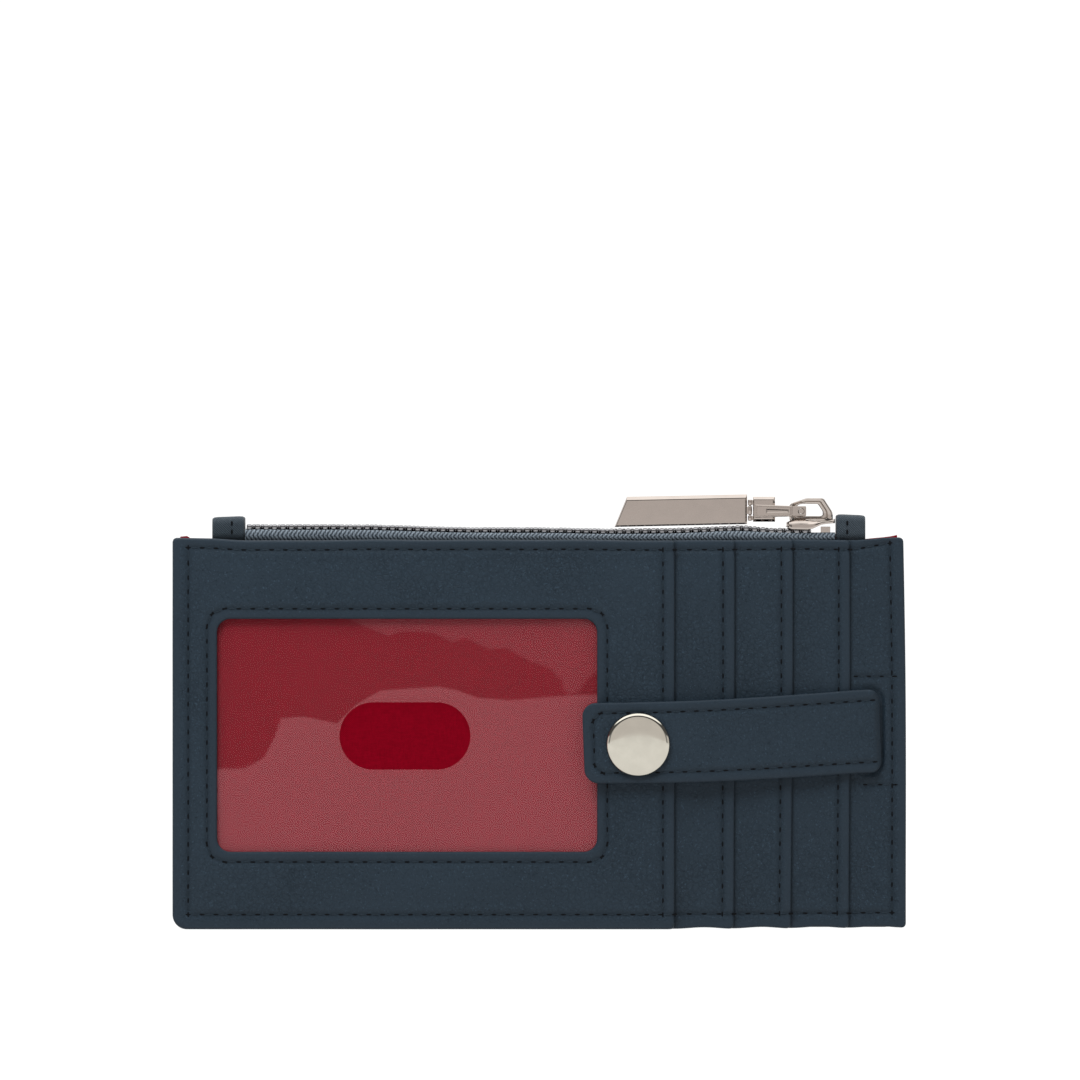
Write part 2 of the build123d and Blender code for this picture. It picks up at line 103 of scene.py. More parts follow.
# Seams.
STITCH_LEFT = -72.7
STITCH_RIGHT = 73.1
STITCH_BOTTOM = 3.1
STITCH_TOP = FRONT_TOP - 2.0
STITCH_TOP_RIGHT = FRONT_TOP - 1.2
STITCH_INSET = 2.4
WINDOW_STITCH = 2.1
WINDOW_STITCH_CORNER = 3.7
STITCH_PITCH = 2.9
GROOVE_DEPTH = 0.2
GROOVE_WIDTH = 0.55

# Strap.
STRAP = (8.9, 70.6)
STRAP_HEIGHT = 16.9
STRAP_MIDDLE = 39.85
STRAP_TILT = math.radians(2.1)
STRAP_BEND = 31.0
STRAP_FACE = box("strap_outer")[0][1]
STRAP_SLOPE = 7.1 / 40.6
STRAP_SEAM_INSET = 2.2
SLIT_X = 71.2


# ---- Shape helpers ----


def step(t):
    """Smooth step from 0 to 1."""
    t = np.clip(t, 0, 1)
    return t * t * (3 - 2 * t)


def fade(distance, reach):
    """1 at an edge, falling smoothly to 0 at this distance from it."""
    return step(1 - distance / reach)


def swell(x, z, seed, size):
    """Smooth unevenness from about -1 to 1, with bumps about this size."""
    draw = np.random.default_rng(seed)
    total = np.zeros(np.shape(x))
    waves = 7
    for _ in range(waves):
        angle = draw.uniform(0, math.pi)
        length = size * draw.uniform(0.8, 2.2)
        phase = draw.uniform(0, 2 * math.pi)
        total = total + np.sin(2 * math.pi * (x * math.cos(angle) + z * math.sin(angle)) / length + phase)
    return total / waves**0.5 / 1.2


def to_path(x, z, path):
    """Distance from each point to a line of straight runs."""
    best = np.full(np.shape(x), 1e9)
    for (x1, z1), (x2, z2) in zip(path, path[1:]):
        dx, dz = x2 - x1, z2 - z1
        t = np.clip(((x - x1) * dx + (z - z1) * dz) / (dx * dx + dz * dz), 0, 1)
        best = np.minimum(best, np.hypot(x - x1 - t * dx, z - z1 - t * dz))
    return best


def to_paths(x, z, paths):
    """Distance from each point to the nearest of several lines."""
    best = np.full(np.shape(x), 1e9)
    for path in paths:
        best = np.minimum(best, to_path(x, z, path))
    return best


def positions(low, high, coarse, marks, fine=0.3):
    """Grid positions from low to high, close together near the marks."""
    at = [low]
    while at[-1] < high:
        gap = min(abs(at[-1] - mark) for mark in marks)
        at.append(at[-1] + min(coarse, max(fine, fine + (gap - 1.0) * 0.3)))
    at = np.array(at)
    return low + (at - low) * (high - low) / (at[-1] - low)


def settled(points):
    """The sewn body's points, moved from the flat outline: a lean at the right, slanting pocket edges,
    small scallops along the bottom between the pocket edges, and the top edge lifted at both ends."""
    x, y, z = points.T
    low_part = fade(np.maximum(z, 0), SCALLOP_HEIGHT)
    lift = 0 * x
    for start, end in zip(PANEL_EDGES, PANEL_EDGES[1:]):
        inside = np.clip((x - start) / (end - start), 0, 1)
        lift = lift + SCALLOP * np.sin(math.pi * inside) ** 2 * low_part
    high_part = step((z - 74.0) / 5.0)
    lift = lift + CORNER_RISE * high_part * np.maximum(step((x - 65) / 9), 0.8 * step((-60 - x) / 9))
    lift = lift + 0.12 * high_part * swell(x, 0 * x, 8, 17.0)
    lean = RIGHT_LEAN * np.clip((z - 31) / 50, 0, 1) ** 2 * step((x - 60) / 16)
    slant = EDGE_LEAN * np.clip((z - 30) / 25, -1, 1) * np.exp(-(((x - 54) / 15) ** 2))
    return np.stack([x - lean + slant, y, z + lift], 1)


def new_object(name, points, faces, layers=None, uv=None):
    """Smooth mesh object from points in millimetres, with number layers and a UV pair for each point."""
    mesh = bpy.data.meshes.new(name)
    faces = faces.tolist() if isinstance(faces, np.ndarray) else faces
    mesh.from_pydata((np.asarray(points, float) * MM).tolist(), [], faces)
    for key, values in (layers or {}).items():
        layer = mesh.attributes.new(key, "FLOAT", "POINT")
        layer.data.foreach_set("value", np.asarray(values, np.float32).ravel())
    if uv is not None:
        corner_points = np.zeros(len(mesh.loops), int)
        mesh.loops.foreach_get("vertex_index", corner_points)
        mesh.uv_layers.new(name="weave").data.foreach_set("uv", np.asarray(uv)[corner_points].ravel())
    mesh.polygons.foreach_set("use_smooth", np.ones(len(mesh.polygons), bool))
    mesh.validate()
    made = bpy.data.objects.new(name, mesh)
    bpy.context.scene.collection.objects.link(made)
    return made


def place(made, body, paint, nodes=()):
    """Paints a piece, puts it on its body when the body is a name (otherwise only fixes its transform in place), and
    hides the CAD nodes that it stands for.
    """
    made.data.materials.clear()
    made.data.materials.append(paint)
    if isinstance(body, str):
        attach(made, body)
    else:
        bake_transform(made)
    if nodes:
        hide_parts(*nodes)
    return made


def round_corners(u, v, corners, size):
    """Maps the corners of a rectangular grid to arcs. size is (left, right, bottom, top)."""
    left, right, bottom, top = size
    centres = [(right, top, 1, 1), (left, top, -1, 1), (left, bottom, -1, -1), (right, bottom, 1, -1)]
    u, v = u.copy(), v.copy()
    for radius, (cu, cv, su, sv) in zip(corners, centres):
        if radius <= 0:
            continue
        du, dv = (u - (cu - su * radius)) * su, (v - (cv - sv * radius)) * sv
        inside = (du > 0) & (dv > 0)
        scale = np.where(inside, np.maximum(du, dv) / np.maximum(np.hypot(du, dv), 1e-9), 1)
        u = np.where(inside, cu - su * radius + su * du * scale, u)
        v = np.where(inside, cv - sv * radius + sv * dv * scale, v)
    return u, v


def slab(us, vs, front, back, corners, roll, turn=None, steps=5):
    """Points and faces of a closed sheet whose edges are folded round.

    us and vs are grid positions inside the folded edge, roll is how far that edge stands out,
    and turn maps the grid into X and Z.
    """
    turn = turn or (lambda u, v: (u, v))
    size = (us[0], us[-1], vs[0], vs[-1])
    u, v = round_corners(*np.meshgrid(us, vs), [max(c - roll, 0) for c in corners], size)
    rows, cols = u.shape
    x, z = turn(u, v)
    index = np.arange(rows * cols).reshape(rows, cols)
    rim = np.concatenate([index[0, :-1], index[:-1, -1], index[-1, :0:-1], index[:0:-1, 0]])
    ru, rv = u.ravel()[rim], v.ravel()[rim]
    tu, tv = np.roll(ru, -1) - np.roll(ru, 1), np.roll(rv, -1) - np.roll(rv, 1)
    length = np.hypot(tu, tv)
    ou, ov = tv / length, -tu / length
    y_front, y_back = front(x, z) + 0 * x, back(x, z) + 0 * x
    rx, rz = turn(ru, rv)
    rim_front, rim_back = y_front.ravel()[rim], y_back.ravel()[rim]
    parts = [np.stack([x.ravel(), y.ravel(), z.ravel()], 1) for y in (y_front, y_back)]
    for step in range(1, steps):
        angle = math.pi * step / steps
        sx, sz = turn(ru + ou * roll * math.sin(angle), rv + ov * roll * math.sin(angle))
        share = (1 - math.cos(angle)) / 2
        parts.append(np.stack([sx, rim_front + (rim_back - rim_front) * share, sz], 1))
    a, b, c, d = (part.ravel() for part in (index[:-1, :-1], index[:-1, 1:], index[1:, 1:], index[1:, :-1]))
    faces = [np.stack([a, b, c, d], 1), np.stack([d, c, b, a], 1) + rows * cols]
    folds = [2 * rows * cols + k * len(rim) + np.arange(len(rim)) for k in range(steps - 1)]
    loops = [rim] + folds + [rim + rows * cols]
    for near, far in zip(loops, loops[1:]):
        faces.append(np.stack([near, far, np.roll(far, -1), np.roll(near, -1)], 1))
    return np.concatenate(parts), np.concatenate(faces)


def outline(size, radii, count):
    """Loop round a rounded rectangle, anticlockwise from the middle of its right side."""
    left, right, bottom, top = size
    middle_x, middle_z = (left + right) / 2, (bottom + top) / 2
    centres = [(right, top, 1, 1), (left, top, -1, 1), (left, bottom, -1, -1), (right, bottom, 1, -1)]
    middles = [(right, middle_z), (middle_x, top), (left, middle_z), (middle_x, bottom)]
    made = []
    for quarter, (radius, (cx, cz, sx, sz)) in enumerate(zip(radii, centres)):
        turn = quarter * math.pi / 2 + np.linspace(0, math.pi / 2, 33)
        arc = np.stack([cx + radius * (np.cos(turn) - sx), cz + radius * (np.sin(turn) - sz)], 1)
        path = np.concatenate([[middles[quarter]], arc, [middles[(quarter + 1) % 4]]])
        run = np.concatenate([[0], np.cumsum(np.hypot(*np.diff(path, axis=0).T))])
        at = np.linspace(0, run[-1], count, endpoint=False)
        made.append(np.stack([np.interp(at, run, path[:, 0]), np.interp(at, run, path[:, 1])], 1))
    return np.concatenate(made)


def quads(count, loops, closed=False, inward=False):
    """Faces between loops of count points each, one loop after another."""
    ring = np.arange(count)
    faces = []
    for k in range(loops if closed else loops - 1):
        near, far = k * count + ring, (k + 1) % loops * count + ring
        around = [near, far, np.roll(far, -1), np.roll(near, -1)]
        faces.append(np.stack([near] + around[:0:-1] if inward else around, 1))
    return np.concatenate(faces)


def at_depth(loop, y):
    """Loop of (x, z) points as 3D points at depth y."""
    return np.stack([loop[:, 0], np.broadcast_to(y, len(loop)), loop[:, 1]], 1)


def at_x(x, loop):
    """Loop of (y, z) points as 3D points at x."""
    return np.stack([np.full(len(loop), x), loop[:, 0], loop[:, 1]], 1)


def frame_sheet(outer, inner, stations, front, back, roll, steps=4):
    """Points and faces of a closed sheet with a hole, between two loops of matched points."""

    def outward(loop):
        tangent = np.roll(loop, -1, 0) - np.roll(loop, 1, 0)
        return np.stack([tangent[:, 1], -tangent[:, 0]], 1) / np.hypot(*tangent.T)[:, None]

    def rings(depth, shares):
        made = [rim + (edge - rim) * t for t in shares]
        return [at_depth(at, depth(at[:, 0], at[:, 1])) for at in made]

    def folded(start, end, direction):
        made = []
        for part in range(1, steps):
            angle = math.pi * part / steps
            middle = start + (end - start) * ((1 - math.cos(angle)) / 2)
            middle[:, [0, 2]] += direction * roll * math.sin(angle)
            made.append(middle)
        return made

    out, hole = outward(outer), outward(inner)
    edge, rim = outer - out * roll, inner + hole * roll
    front_rings, back_rings = rings(front, stations), rings(back, stations[::-1])
    loops = front_rings + folded(front_rings[-1], back_rings[0], out)
    loops += back_rings + folded(back_rings[-1], front_rings[0], -hole)
    return np.concatenate(loops), quads(len(outer), len(loops), closed=True)


def loft(sections):
    """Points and faces through closed sections of matched points, capped at both ends."""
    count = len(sections[0])
    ring = np.arange(count)
    faces = quads(count, len(sections)).tolist()
    faces += [ring.tolist(), (ring + (len(sections) - 1) * count)[::-1].tolist()]
    return np.concatenate(sections), faces


def turned_over(points, faces):
    """The same shape with its faces looking the other way."""
    return points, [face[::-1] for face in faces]


def merged(parts):
    """Joins several (points, faces) into one."""
    points, faces, start = [], [], 0
    for some_points, some_faces in parts:
        points.append(some_points)
        faces += [[i + start for i in face] for face in some_faces]
        start += len(some_points)
    return np.concatenate(points), faces


# ---- Materials ----


def material(name):
    made = bpy.data.materials.new(name)
    made.use_nodes = True
    return made, made.node_tree, made.node_tree.nodes["Principled BSDF"]


def fill(node, inputs):
    """Sets each input to a value, or links it to another node's output."""
    for key, value in inputs.items():
        if isinstance(value, bpy.types.NodeSocket):
            node.id_data.links.new(value, node.inputs[key])
        else:
            node.inputs[key].default_value = value


def add(tree, kind, inputs=None, **settings):
    """New shader node."""
    made = tree.nodes.new("ShaderNode" + kind)
    for key, value in settings.items():
        setattr(made, key, value)
    fill(made, inputs or {})
    return made


def maths(operation, *values):
    tree = next(value for value in values if isinstance(value, bpy.types.NodeSocket)).id_data
    return add(tree, "Math", dict(enumerate(values)), operation=operation).outputs[0]


def times(a, b):
    return maths("MULTIPLY", a, b)


def plus(a, b):
    return maths("ADD", a, b)


def ramp(value, low, high, to_low=0.0, to_high=1.0):
    """Smooth step of a value between two limits."""
    inputs = {"Value": value, "From Min": low, "From Max": high, "To Min": to_low, "To Max": to_high}
    return add(value.id_data, "MapRange", inputs, interpolation_type="SMOOTHSTEP").outputs["Result"]


def mix(share, a, b):
    """Colour between a and b."""
    inputs = {"Factor": share}
    for key, value in ((6, a), (7, b)):
        inputs[key] = value if isinstance(value, bpy.types.NodeSocket) else (*value, 1)
    return add(share.id_data, "Mix", inputs, data_type="RGBA").outputs[2]


def in_mm(tree, stretch=(1, 1, 1)):
    """Coordinates on the object, in millimetres."""
    place_on = add(tree, "TexCoord").outputs["Object"]
    scale = tuple(s / MM for s in stretch)
    return add(tree, "Mapping", {"Vector": place_on, "Scale": scale}).outputs["Vector"]


def noise(vector, scale, detail=2.0, roughness=0.5):
    inputs = {"Vector": vector, "Scale": scale, "Detail": detail, "Roughness": roughness}
    return add(vector.id_data, "TexNoise", inputs).outputs["Fac"]


def layer(tree, name):
    return add(tree, "Attribute", attribute_name=name).outputs["Fac"]


def bump(height, distance, strength=1.0):
    inputs = {"Height": height, "Distance": distance * MM, "Strength": strength}
    return add(height.id_data, "Bump", inputs).outputs["Normal"]


def scaled(colour, share):
    return tuple(c * share for c in colour)


def leather(name, base, crease, edge_colour, grain=1.0):
    """Pebbled leather: small cells with soft creases between them, smoother and lighter on folded edges, and darkened
    towards the crease colour by the line layer, which holds painted shade in seam grooves, in the strap slit, on the
    strap's turned-in end and beside each pocket edge.
    """
    made, tree, shader = material(name)
    mm = in_mm(tree)
    wander = add(tree, "TexNoise", {"Vector": mm, "Scale": 0.55, "Detail": 2.0}).outputs["Color"]
    shifted = add(tree, "VectorMath", {0: wander, 1: (0.5, 0.5, 0.5)}, operation="SUBTRACT").outputs[0]
    shifted = add(tree, "VectorMath", {0: shifted, "Scale": 1.5}, operation="SCALE").outputs[0]
    warped = add(tree, "VectorMath", {0: mm, 1: shifted}, operation="ADD").outputs[0]

    def cells(scale, crease_width):
        made = add(tree, "TexVoronoi", {"Vector": warped, "Scale": scale}, feature="DISTANCE_TO_EDGE")
        return ramp(made.outputs["Distance"], 0.0, crease_width)

    pebble, grit = cells(0.95, 0.22), cells(2.3, 0.3)
    patches = ramp(noise(mm, 0.045, 2.0), 0.38, 0.62, 0.25, 0.8)
    folded, line = layer(tree, "edge"), layer(tree, "line")
    plain = maths("SUBTRACT", 1.0, maths("MAXIMUM", folded, times(line, 0.8)))
    strength = times(patches, plain)
    relief = plus(times(pebble, 0.75), times(grit, 0.25))
    relief = plus(relief, times(noise(mm, 3.2, 4.0, 0.7), 0.45))
    height = times(relief, maths("MULTIPLY_ADD", strength, 0.75, 0.25))
    tone = times(maths("SUBTRACT", 1.0, relief), strength)
    colour = mix(times(ramp(tone, 0.0, 0.75), 0.6), base, crease)
    fleck = ramp(noise(mm, 2.4, 3.0, 0.65), 0.56, 0.72)
    colour = mix(times(fleck, 0.9), colour, scaled(base, 2.2))
    pit = ramp(noise(mm, 1.7, 4.0, 0.7), 0.46, 0.30)
    colour = mix(times(pit, 0.95), colour, crease)
    clouds = ramp(noise(mm, 0.09, 3.0), 0.35, 0.65)
    colour = mix(times(clouds, 0.35), colour, scaled(base, 1.25))
    colour = mix(times(folded, 0.6), colour, edge_colour)
    # Painted shade: the line layer darkens the leather towards the crease colour in seam grooves, the strap slit, the
    # strap's turned-in end and beside each pocket edge.
    colour = mix(times(line, 0.55), colour, crease)
    rough = maths("MULTIPLY_ADD", relief, -0.12, 0.62)
    fill(shader, {"Base Color": colour, "Roughness": rough, "Normal": bump(height, 0.10 * grain, 0.9)})
    fill(shader, {"Specular IOR Level": 0.16})
    return made


def cloth(name, base, dark, pitch, fuzz=0.3):
    """Plain weave in the X and Z directions."""
    made, tree, shader = material(name)
    mm = in_mm(tree)
    axes = add(tree, "SeparateXYZ", {"Vector": mm})
    wave = 2 * math.pi / pitch
    across = maths("SINE", times(axes.outputs["X"], wave))
    along = maths("SINE", times(axes.outputs["Z"], wave))
    weave = maths("MULTIPLY_ADD", times(across, along), 0.5, 0.5)
    slub = noise(in_mm(tree, (0.6, 1, 3.2)), 1.3, 3.0)
    slub_down = noise(in_mm(tree, (3.2, 1, 0.6)), 1.3, 3.0)
    yarn = times(plus(slub, slub_down), 0.5)
    height = plus(times(weave, 0.6), times(yarn, fuzz))
    share = ramp(maths("MULTIPLY_ADD", weave, 0.35, yarn), 0.35, 0.95)
    fill(shader, {"Base Color": mix(share, dark, base), "Normal": bump(height, 0.05, 0.6)})
    fill(shader, {"Roughness": 0.85, "Specular IOR Level": 0.01})
    return made


def twill(name, base, dark, pitch, zigzag):
    """Diagonal ribs over the UV map, in millimetres; zigzag is the width of a herringbone row, or 0."""
    made, tree, shader = material(name)
    uv = add(tree, "UVMap", uv_map="weave").outputs["UV"]
    axes = add(tree, "SeparateXYZ", {"Vector": uv})
    across = axes.outputs["Y"]
    if zigzag:
        across = maths("PINGPONG", across, zigzag)
    slope = plus(axes.outputs["X"], across)
    rib = maths("SINE", times(slope, 2 * math.pi / pitch))
    cross = maths("SINE", times(axes.outputs["X"], 2 * math.pi / (pitch * 0.55)))
    height = plus(times(rib, 0.32), times(cross, 0.12))
    fibre = noise(in_mm(tree), 2.6, 3.0)
    height = plus(height, times(fibre, 0.8))
    colour = mix(ramp(height, -0.05, 0.90), dark, base)
    fill(shader, {"Base Color": colour, "Normal": bump(height, 0.12, 0.8)})
    fill(shader, {"Roughness": 0.75, "Specular IOR Level": 0.3, "Sheen Weight": 0.15})
    return made


def metal(name, colour, roughness, wear=0.5):
    """Polished plated metal with faint hairlines and smudges."""
    made, tree, shader = material(name)
    mm = in_mm(tree)
    smudge = noise(mm, 0.35, 3.0)
    hair = noise(in_mm(tree, (0.25, 3, 3)), 3.0, 2.0)
    rough = maths("MULTIPLY_ADD", smudge, roughness, roughness * 0.5)
    tint = mix(ramp(smudge, 0.3, 0.7), colour, scaled(colour, 0.94))
    fill(shader, {"Base Color": tint, "Roughness": rough, "Normal": bump(hair, 0.002, wear), "Metallic": 1.0})
    return made


def thread_paint(name, base, dark):
    """Sewing thread, with painted shade in the needle holes, which the hole layer turns near-black."""
    made, tree, shader = material(name)
    strands = noise(in_mm(tree), 3.5, 2.0)
    colour = mix(ramp(strands, 0.35, 0.65), base, scaled(base, 0.75))
    hole = layer(tree, "hole")
    fill(shader, {"Base Color": mix(hole, colour, dark), "Roughness": maths("MULTIPLY_ADD", hole, 0.25, 0.65)})
    fill(shader, {"Normal": bump(strands, 0.06, 0.7), "Specular IOR Level": 0.2})
    return made


def film_paint():
    """Clear flexible film: most light goes through, and the rest is a faint bloom and a sharp reflection, whose
    strength is painted reflection from a layer on the mesh, strongest where the ripple leans forward.
    """
    made, tree, _ = material("clear_film")
    tree.nodes.clear()
    clear = add(tree, "BsdfTransparent", {"Color": FILM_CLEAR}).outputs["BSDF"]
    scratch = noise(in_mm(tree), 1.2, 3.0)
    rough = maths("MULTIPLY_ADD", scratch, 0.03, 0.01)
    gloss = add(tree, "BsdfGlossy", {"Color": FILM_TINT, "Roughness": rough}).outputs["BSDF"]
    bloom = add(tree, "BsdfDiffuse", {"Color": FILM_BLOOM}).outputs["BSDF"]
    surface = add(tree, "MixShader", {"Fac": FILM_GLOSS, 1: bloom, 2: gloss}).outputs["Shader"]
    share = times(layer(tree, "painted_reflection"), FILM_SHINE)
    both = add(tree, "MixShader", {"Fac": share, 1: clear, 2: surface}).outputs["Shader"]
    add(tree, "OutputMaterial", {"Surface": both})
    return made


def board_paint():
    made, tree, shader = material("stiffener_board")
    speck = noise(in_mm(tree), 1.1, 4.0)
    colour = mix(speck, (0.42, 0.39, 0.34), (0.56, 0.53, 0.47))
    fill(shader, {"Base Color": colour, "Normal": bump(speck, 0.05, 0.5), "Roughness": 0.9})
    return made


FILM_SHINE = 0.058
FILM_GLOSS = 0.2
FILM_BLOOM = (0.98, 0.417, 0.456, 1)
FILM_CLEAR = (0.968, 0.96, 0.96, 1)
FILM_TINT = (1.0, 0.50, 0.53, 1)

NAVY = (0.0130, 0.0220, 0.0318)
NAVY_CREASE = (0.0050, 0.0100, 0.0155)
NAVY_EDGE = (0.0142, 0.0226, 0.0322)
leather_paint = leather("navy_leather", NAVY, NAVY_CREASE, NAVY_EDGE)
strap_paint = leather("navy_strap_leather", NAVY, NAVY_CREASE, NAVY_EDGE, 0.7)
lining_paint = cloth("red_lining", (0.168, 0.0011, 0.0076), (0.104, 0.0006, 0.0045), 0.42)
tape_paint = twill("navy_tape", (0.165, 0.200, 0.235), (0.012, 0.019, 0.027), 0.85, 0.75)
tab_paint = twill("navy_tab_cloth", (0.034, 0.048, 0.060), (0.011, 0.018, 0.026), 0.5, 0)
nickel = metal("nickel_puller", (0.475, 0.420, 0.380), 0.05, 0.2)
snap_nickel = metal("nickel_snap", (0.585, 0.555, 0.480), 0.07, 0.15)
tooth_metal = metal("silver_teeth", (0.30, 0.30, 0.31), 0.12)
# The second colour is the near-black painted shade of the needle holes.
thread = thread_paint("navy_thread", (0.0125, 0.0210, 0.0300), (0.0010, 0.0015, 0.0025))
clear_film = film_paint()
board = board_paint()


# ---- Leather panels ----


def seam_pull(x, z):
    """1 at the left, bottom and top seams of the front, 0 in the open middle of the pockets."""
    open_share = (
        (1 - fade(x - LEFT, SEAM_REACH_SIDE))
        * (1 - fade(z, SEAM_REACH_END))
        * (1 - fade(FRONT_TOP - z, SEAM_REACH_END))
    )
    return 1 - open_share


def uneven(x, z):
    return UNEVEN * swell(x, z, 3, 26.0)


def window_seam_path():
    """Seam round the window, with two stitches round each corner."""
    reach = WINDOW_STITCH_CORNER
    left, right = WINDOW[0] - WINDOW_STITCH + reach, WINDOW[1] + WINDOW_STITCH - reach
    bottom, top = WINDOW[2] - WINDOW_STITCH + reach, WINDOW[3] + WINDOW_STITCH - reach
    path = []
    for quarter, (x, z) in enumerate(((right, bottom), (right, top), (left, top), (left, bottom))):
        for half in range(3):
            angle = math.pi / 2 * (quarter - 1 + half / 2)
            path.append((x + reach * math.cos(angle), z + reach * math.sin(angle)))
    return path + path[:1]


def panel_seams(number):
    """Lines of stitching on one front panel."""
    right = PANEL_EDGES[number]
    start = LEFT if number == 0 else PANEL_EDGES[number - 1]
    seam_left = STITCH_LEFT if number == 0 else start
    last = number == len(PANELS) - 1
    seam_right = STITCH_RIGHT if last else right - STITCH_INSET
    end = seam_right if last else right
    top_end = STITCH_TOP_RIGHT if last else STITCH_TOP
    paths = [
        [(seam_left, STITCH_BOTTOM), (end, STITCH_BOTTOM)],
        [(seam_left, STITCH_TOP), (end, top_end)],
        [(seam_right, STITCH_BOTTOM), (seam_right, top_end)],
    ]
    if number == 0:
        paths.append([(STITCH_LEFT, STITCH_BOTTOM), (STITCH_LEFT, STITCH_TOP)])
        paths.append(window_seam_path())
    if last:
        paths.append([(65.5, 52.2), (73.7, 52.2)])
        paths.append([(67.5, 29.7), (73.7, 29.7)])
    return paths


def slit(x, z):
    """Cut in the base panel where the strap goes through."""
    half = STRAP_HEIGHT / 2
    corner = 2.6
    du = np.maximum(x - (SLIT_X - 0.2 - corner), 0)
    dv = np.maximum(np.abs(z - STRAP_MIDDLE - 1.0) - (half + 0.2 - corner), 0)
    round_root = np.hypot(du, dv) - corner
    return np.exp(-((round_root / 0.42) ** 2)) * step((x - 66.0) / 3.0)


def panel_front(number, grooves=True):
    """Depth of a front panel's face."""

    def face(x, z):
        pull = seam_pull(x, z)
        y = PANEL_FACES[number] + SEAM_PULL[number] * pull + uneven(x, z)
        if number > 0:
            y = y - BOW[number] * (1 - pull) * np.exp(-(((x - PANEL_EDGES[number - 1]) / BOW_REACH) ** 2))
        if grooves:
            d = to_paths(x, z, panel_seams(number))
            y = y + GROOVE_DEPTH * np.exp(-((d / GROOVE_WIDTH) ** 2))
            y = y - 0.07 * np.exp(-(((d - 1.25) / 0.7) ** 2))
            if number == len(PANELS) - 1:
                y = y + 0.5 * slit(x, z)
        return y

    return face


def edge_distance(x, z, left, right, bottom, top):
    return np.minimum(np.minimum(x - left, right - x), np.minimum(z - bottom, top - z))


def leather_layers(points, seams, edge, strip=1.3):
    """Layers for the leather paint: nearness to a folded edge, and painted shade along each seam's groove."""
    x, z = points[:, 0], points[:, 2]
    line = np.exp(-((to_paths(x, z, seams) / 0.5) ** 2))
    return {"edge": fade(edge(x, z) - strip * 0.7, strip), "line": line}


PANEL_THICKNESS = 0.75
WINDOW_THICKNESS = 0.8
HEM_THICKNESS = 0.85
CARD_HEM_THICKNESS = 0.45
STATIONS = np.linspace(0, 1, 40)
STATIONS = 0.65 * STATIONS + 0.35 * (0.5 - 0.5 * np.cos(math.pi * STATIONS))


def window_back(x, z):
    edge = edge_distance(x, z, LEFT, PANEL_EDGES[0] + 9, 0, FRONT_TOP)
    return panel_front(0, False)(x, z) + WINDOW_THICKNESS + HEM_THICKNESS * fade(edge - 3.0, 1.5)


points, faces = frame_sheet(
    outline((LEFT, PANEL_EDGES[0], 0, FRONT_TOP), SOFT_CORNERS, 170),
    outline(WINDOW, (WINDOW_CORNER,) * 4, 170),
    STATIONS,
    panel_front(0),
    window_back,
    0.4,
)
panel_rim = (LEFT, PANEL_EDGES[0], 0, FRONT_TOP)


def window_edge(x, z):
    hole = -edge_distance(x, z, *WINDOW)
    return np.minimum(edge_distance(x, z, *panel_rim), np.where(hole > -1, np.abs(hole), 9))


made = new_object("window_panel_leather", settled(points), faces, leather_layers(points, panel_seams(0), window_edge))
place(made, "wallet", leather_paint, ["window_panel", "window_panel_hem"])

for number in range(1, len(PANELS)):
    right, before = PANEL_EDGES[number], PANEL_EDGES[number - 1]
    last = number == len(PANELS) - 1
    roll = 0.45 if not last else 0.35
    marks_x = [LEFT + roll, before, right - roll, STITCH_RIGHT if last else right - STITCH_INSET]
    if last:
        marks_x.append(SLIT_X)
    hidden = positions(LEFT + roll, before - 3.0, 4.0, [LEFT + roll], 0.5)
    shown = positions(before - 3.0, right - roll, 0.5, marks_x)
    us = np.concatenate([hidden[:-1], shown])
    vs = positions(roll, FRONT_TOP - roll, 0.55, [roll, STITCH_BOTTOM, STITCH_TOP, FRONT_TOP - roll])

    def panel_back(x, z, number=number, last=last):
        rim = np.minimum(np.minimum(x - LEFT, FRONT_TOP - z), z)
        thick = PANEL_THICKNESS + CARD_HEM_THICKNESS * fade(rim - 3.0, 1.0)
        if last:
            rim = np.minimum(np.minimum(x - LEFT, RIGHT - x), z)
            thick = 0.55 + 0.4 * fade(rim - 3.0, 1.0)
        return panel_front(number, False)(x, z) + thick

    points, faces = slab(us, vs, panel_front(number), panel_back, SOFT_CORNERS, roll)
    rim = (LEFT, right, 0, FRONT_TOP)
    layers = leather_layers(points, panel_seams(number), lambda x, z: edge_distance(x, z, *rim))
    # Painted shadow: a narrow dark strip on this panel just right of the edge of the panel in front of it.
    under = points[:, 0] - before
    layers["line"] = np.maximum(layers["line"], np.where(under > -1, np.exp(-((np.maximum(under, 0) / 0.45) ** 2)), 0))
    if last:
        # Painted shade in the strap slit, where the folded-edge lightening is taken out as well.
        layers["line"] = np.maximum(layers["line"], slit(points[:, 0], points[:, 2]))
        layers["edge"] = layers["edge"] * (1 - slit(points[:, 0], points[:, 2]))
    made = new_object(f"{PANELS[number]}_leather", settled(points), faces, layers)
    nodes = [PANELS[number]] if last else [PANELS[number], f"{PANELS[number]}_hem"]
    place(made, "wallet", leather_paint, nodes)


def back_pull(x, z):
    side = fade(np.minimum(x - LEFT, RIGHT - x), BACK_REACH_SIDE)
    return 1 - (1 - side) * (1 - fade(z, BACK_REACH_END))


BACK_SEAM = [
    [(-STITCH_RIGHT, STITCH_BOTTOM), (STITCH_RIGHT, STITCH_BOTTOM)],
    [(-STITCH_RIGHT, BACK_TOP - 2.6), (STITCH_RIGHT, BACK_TOP - 2.6)],
    [(-STITCH_RIGHT, STITCH_BOTTOM), (-STITCH_RIGHT, BACK_TOP - 2.6)],
    [(STITCH_RIGHT, STITCH_BOTTOM), (STITCH_RIGHT, BACK_TOP - 2.6)],
]


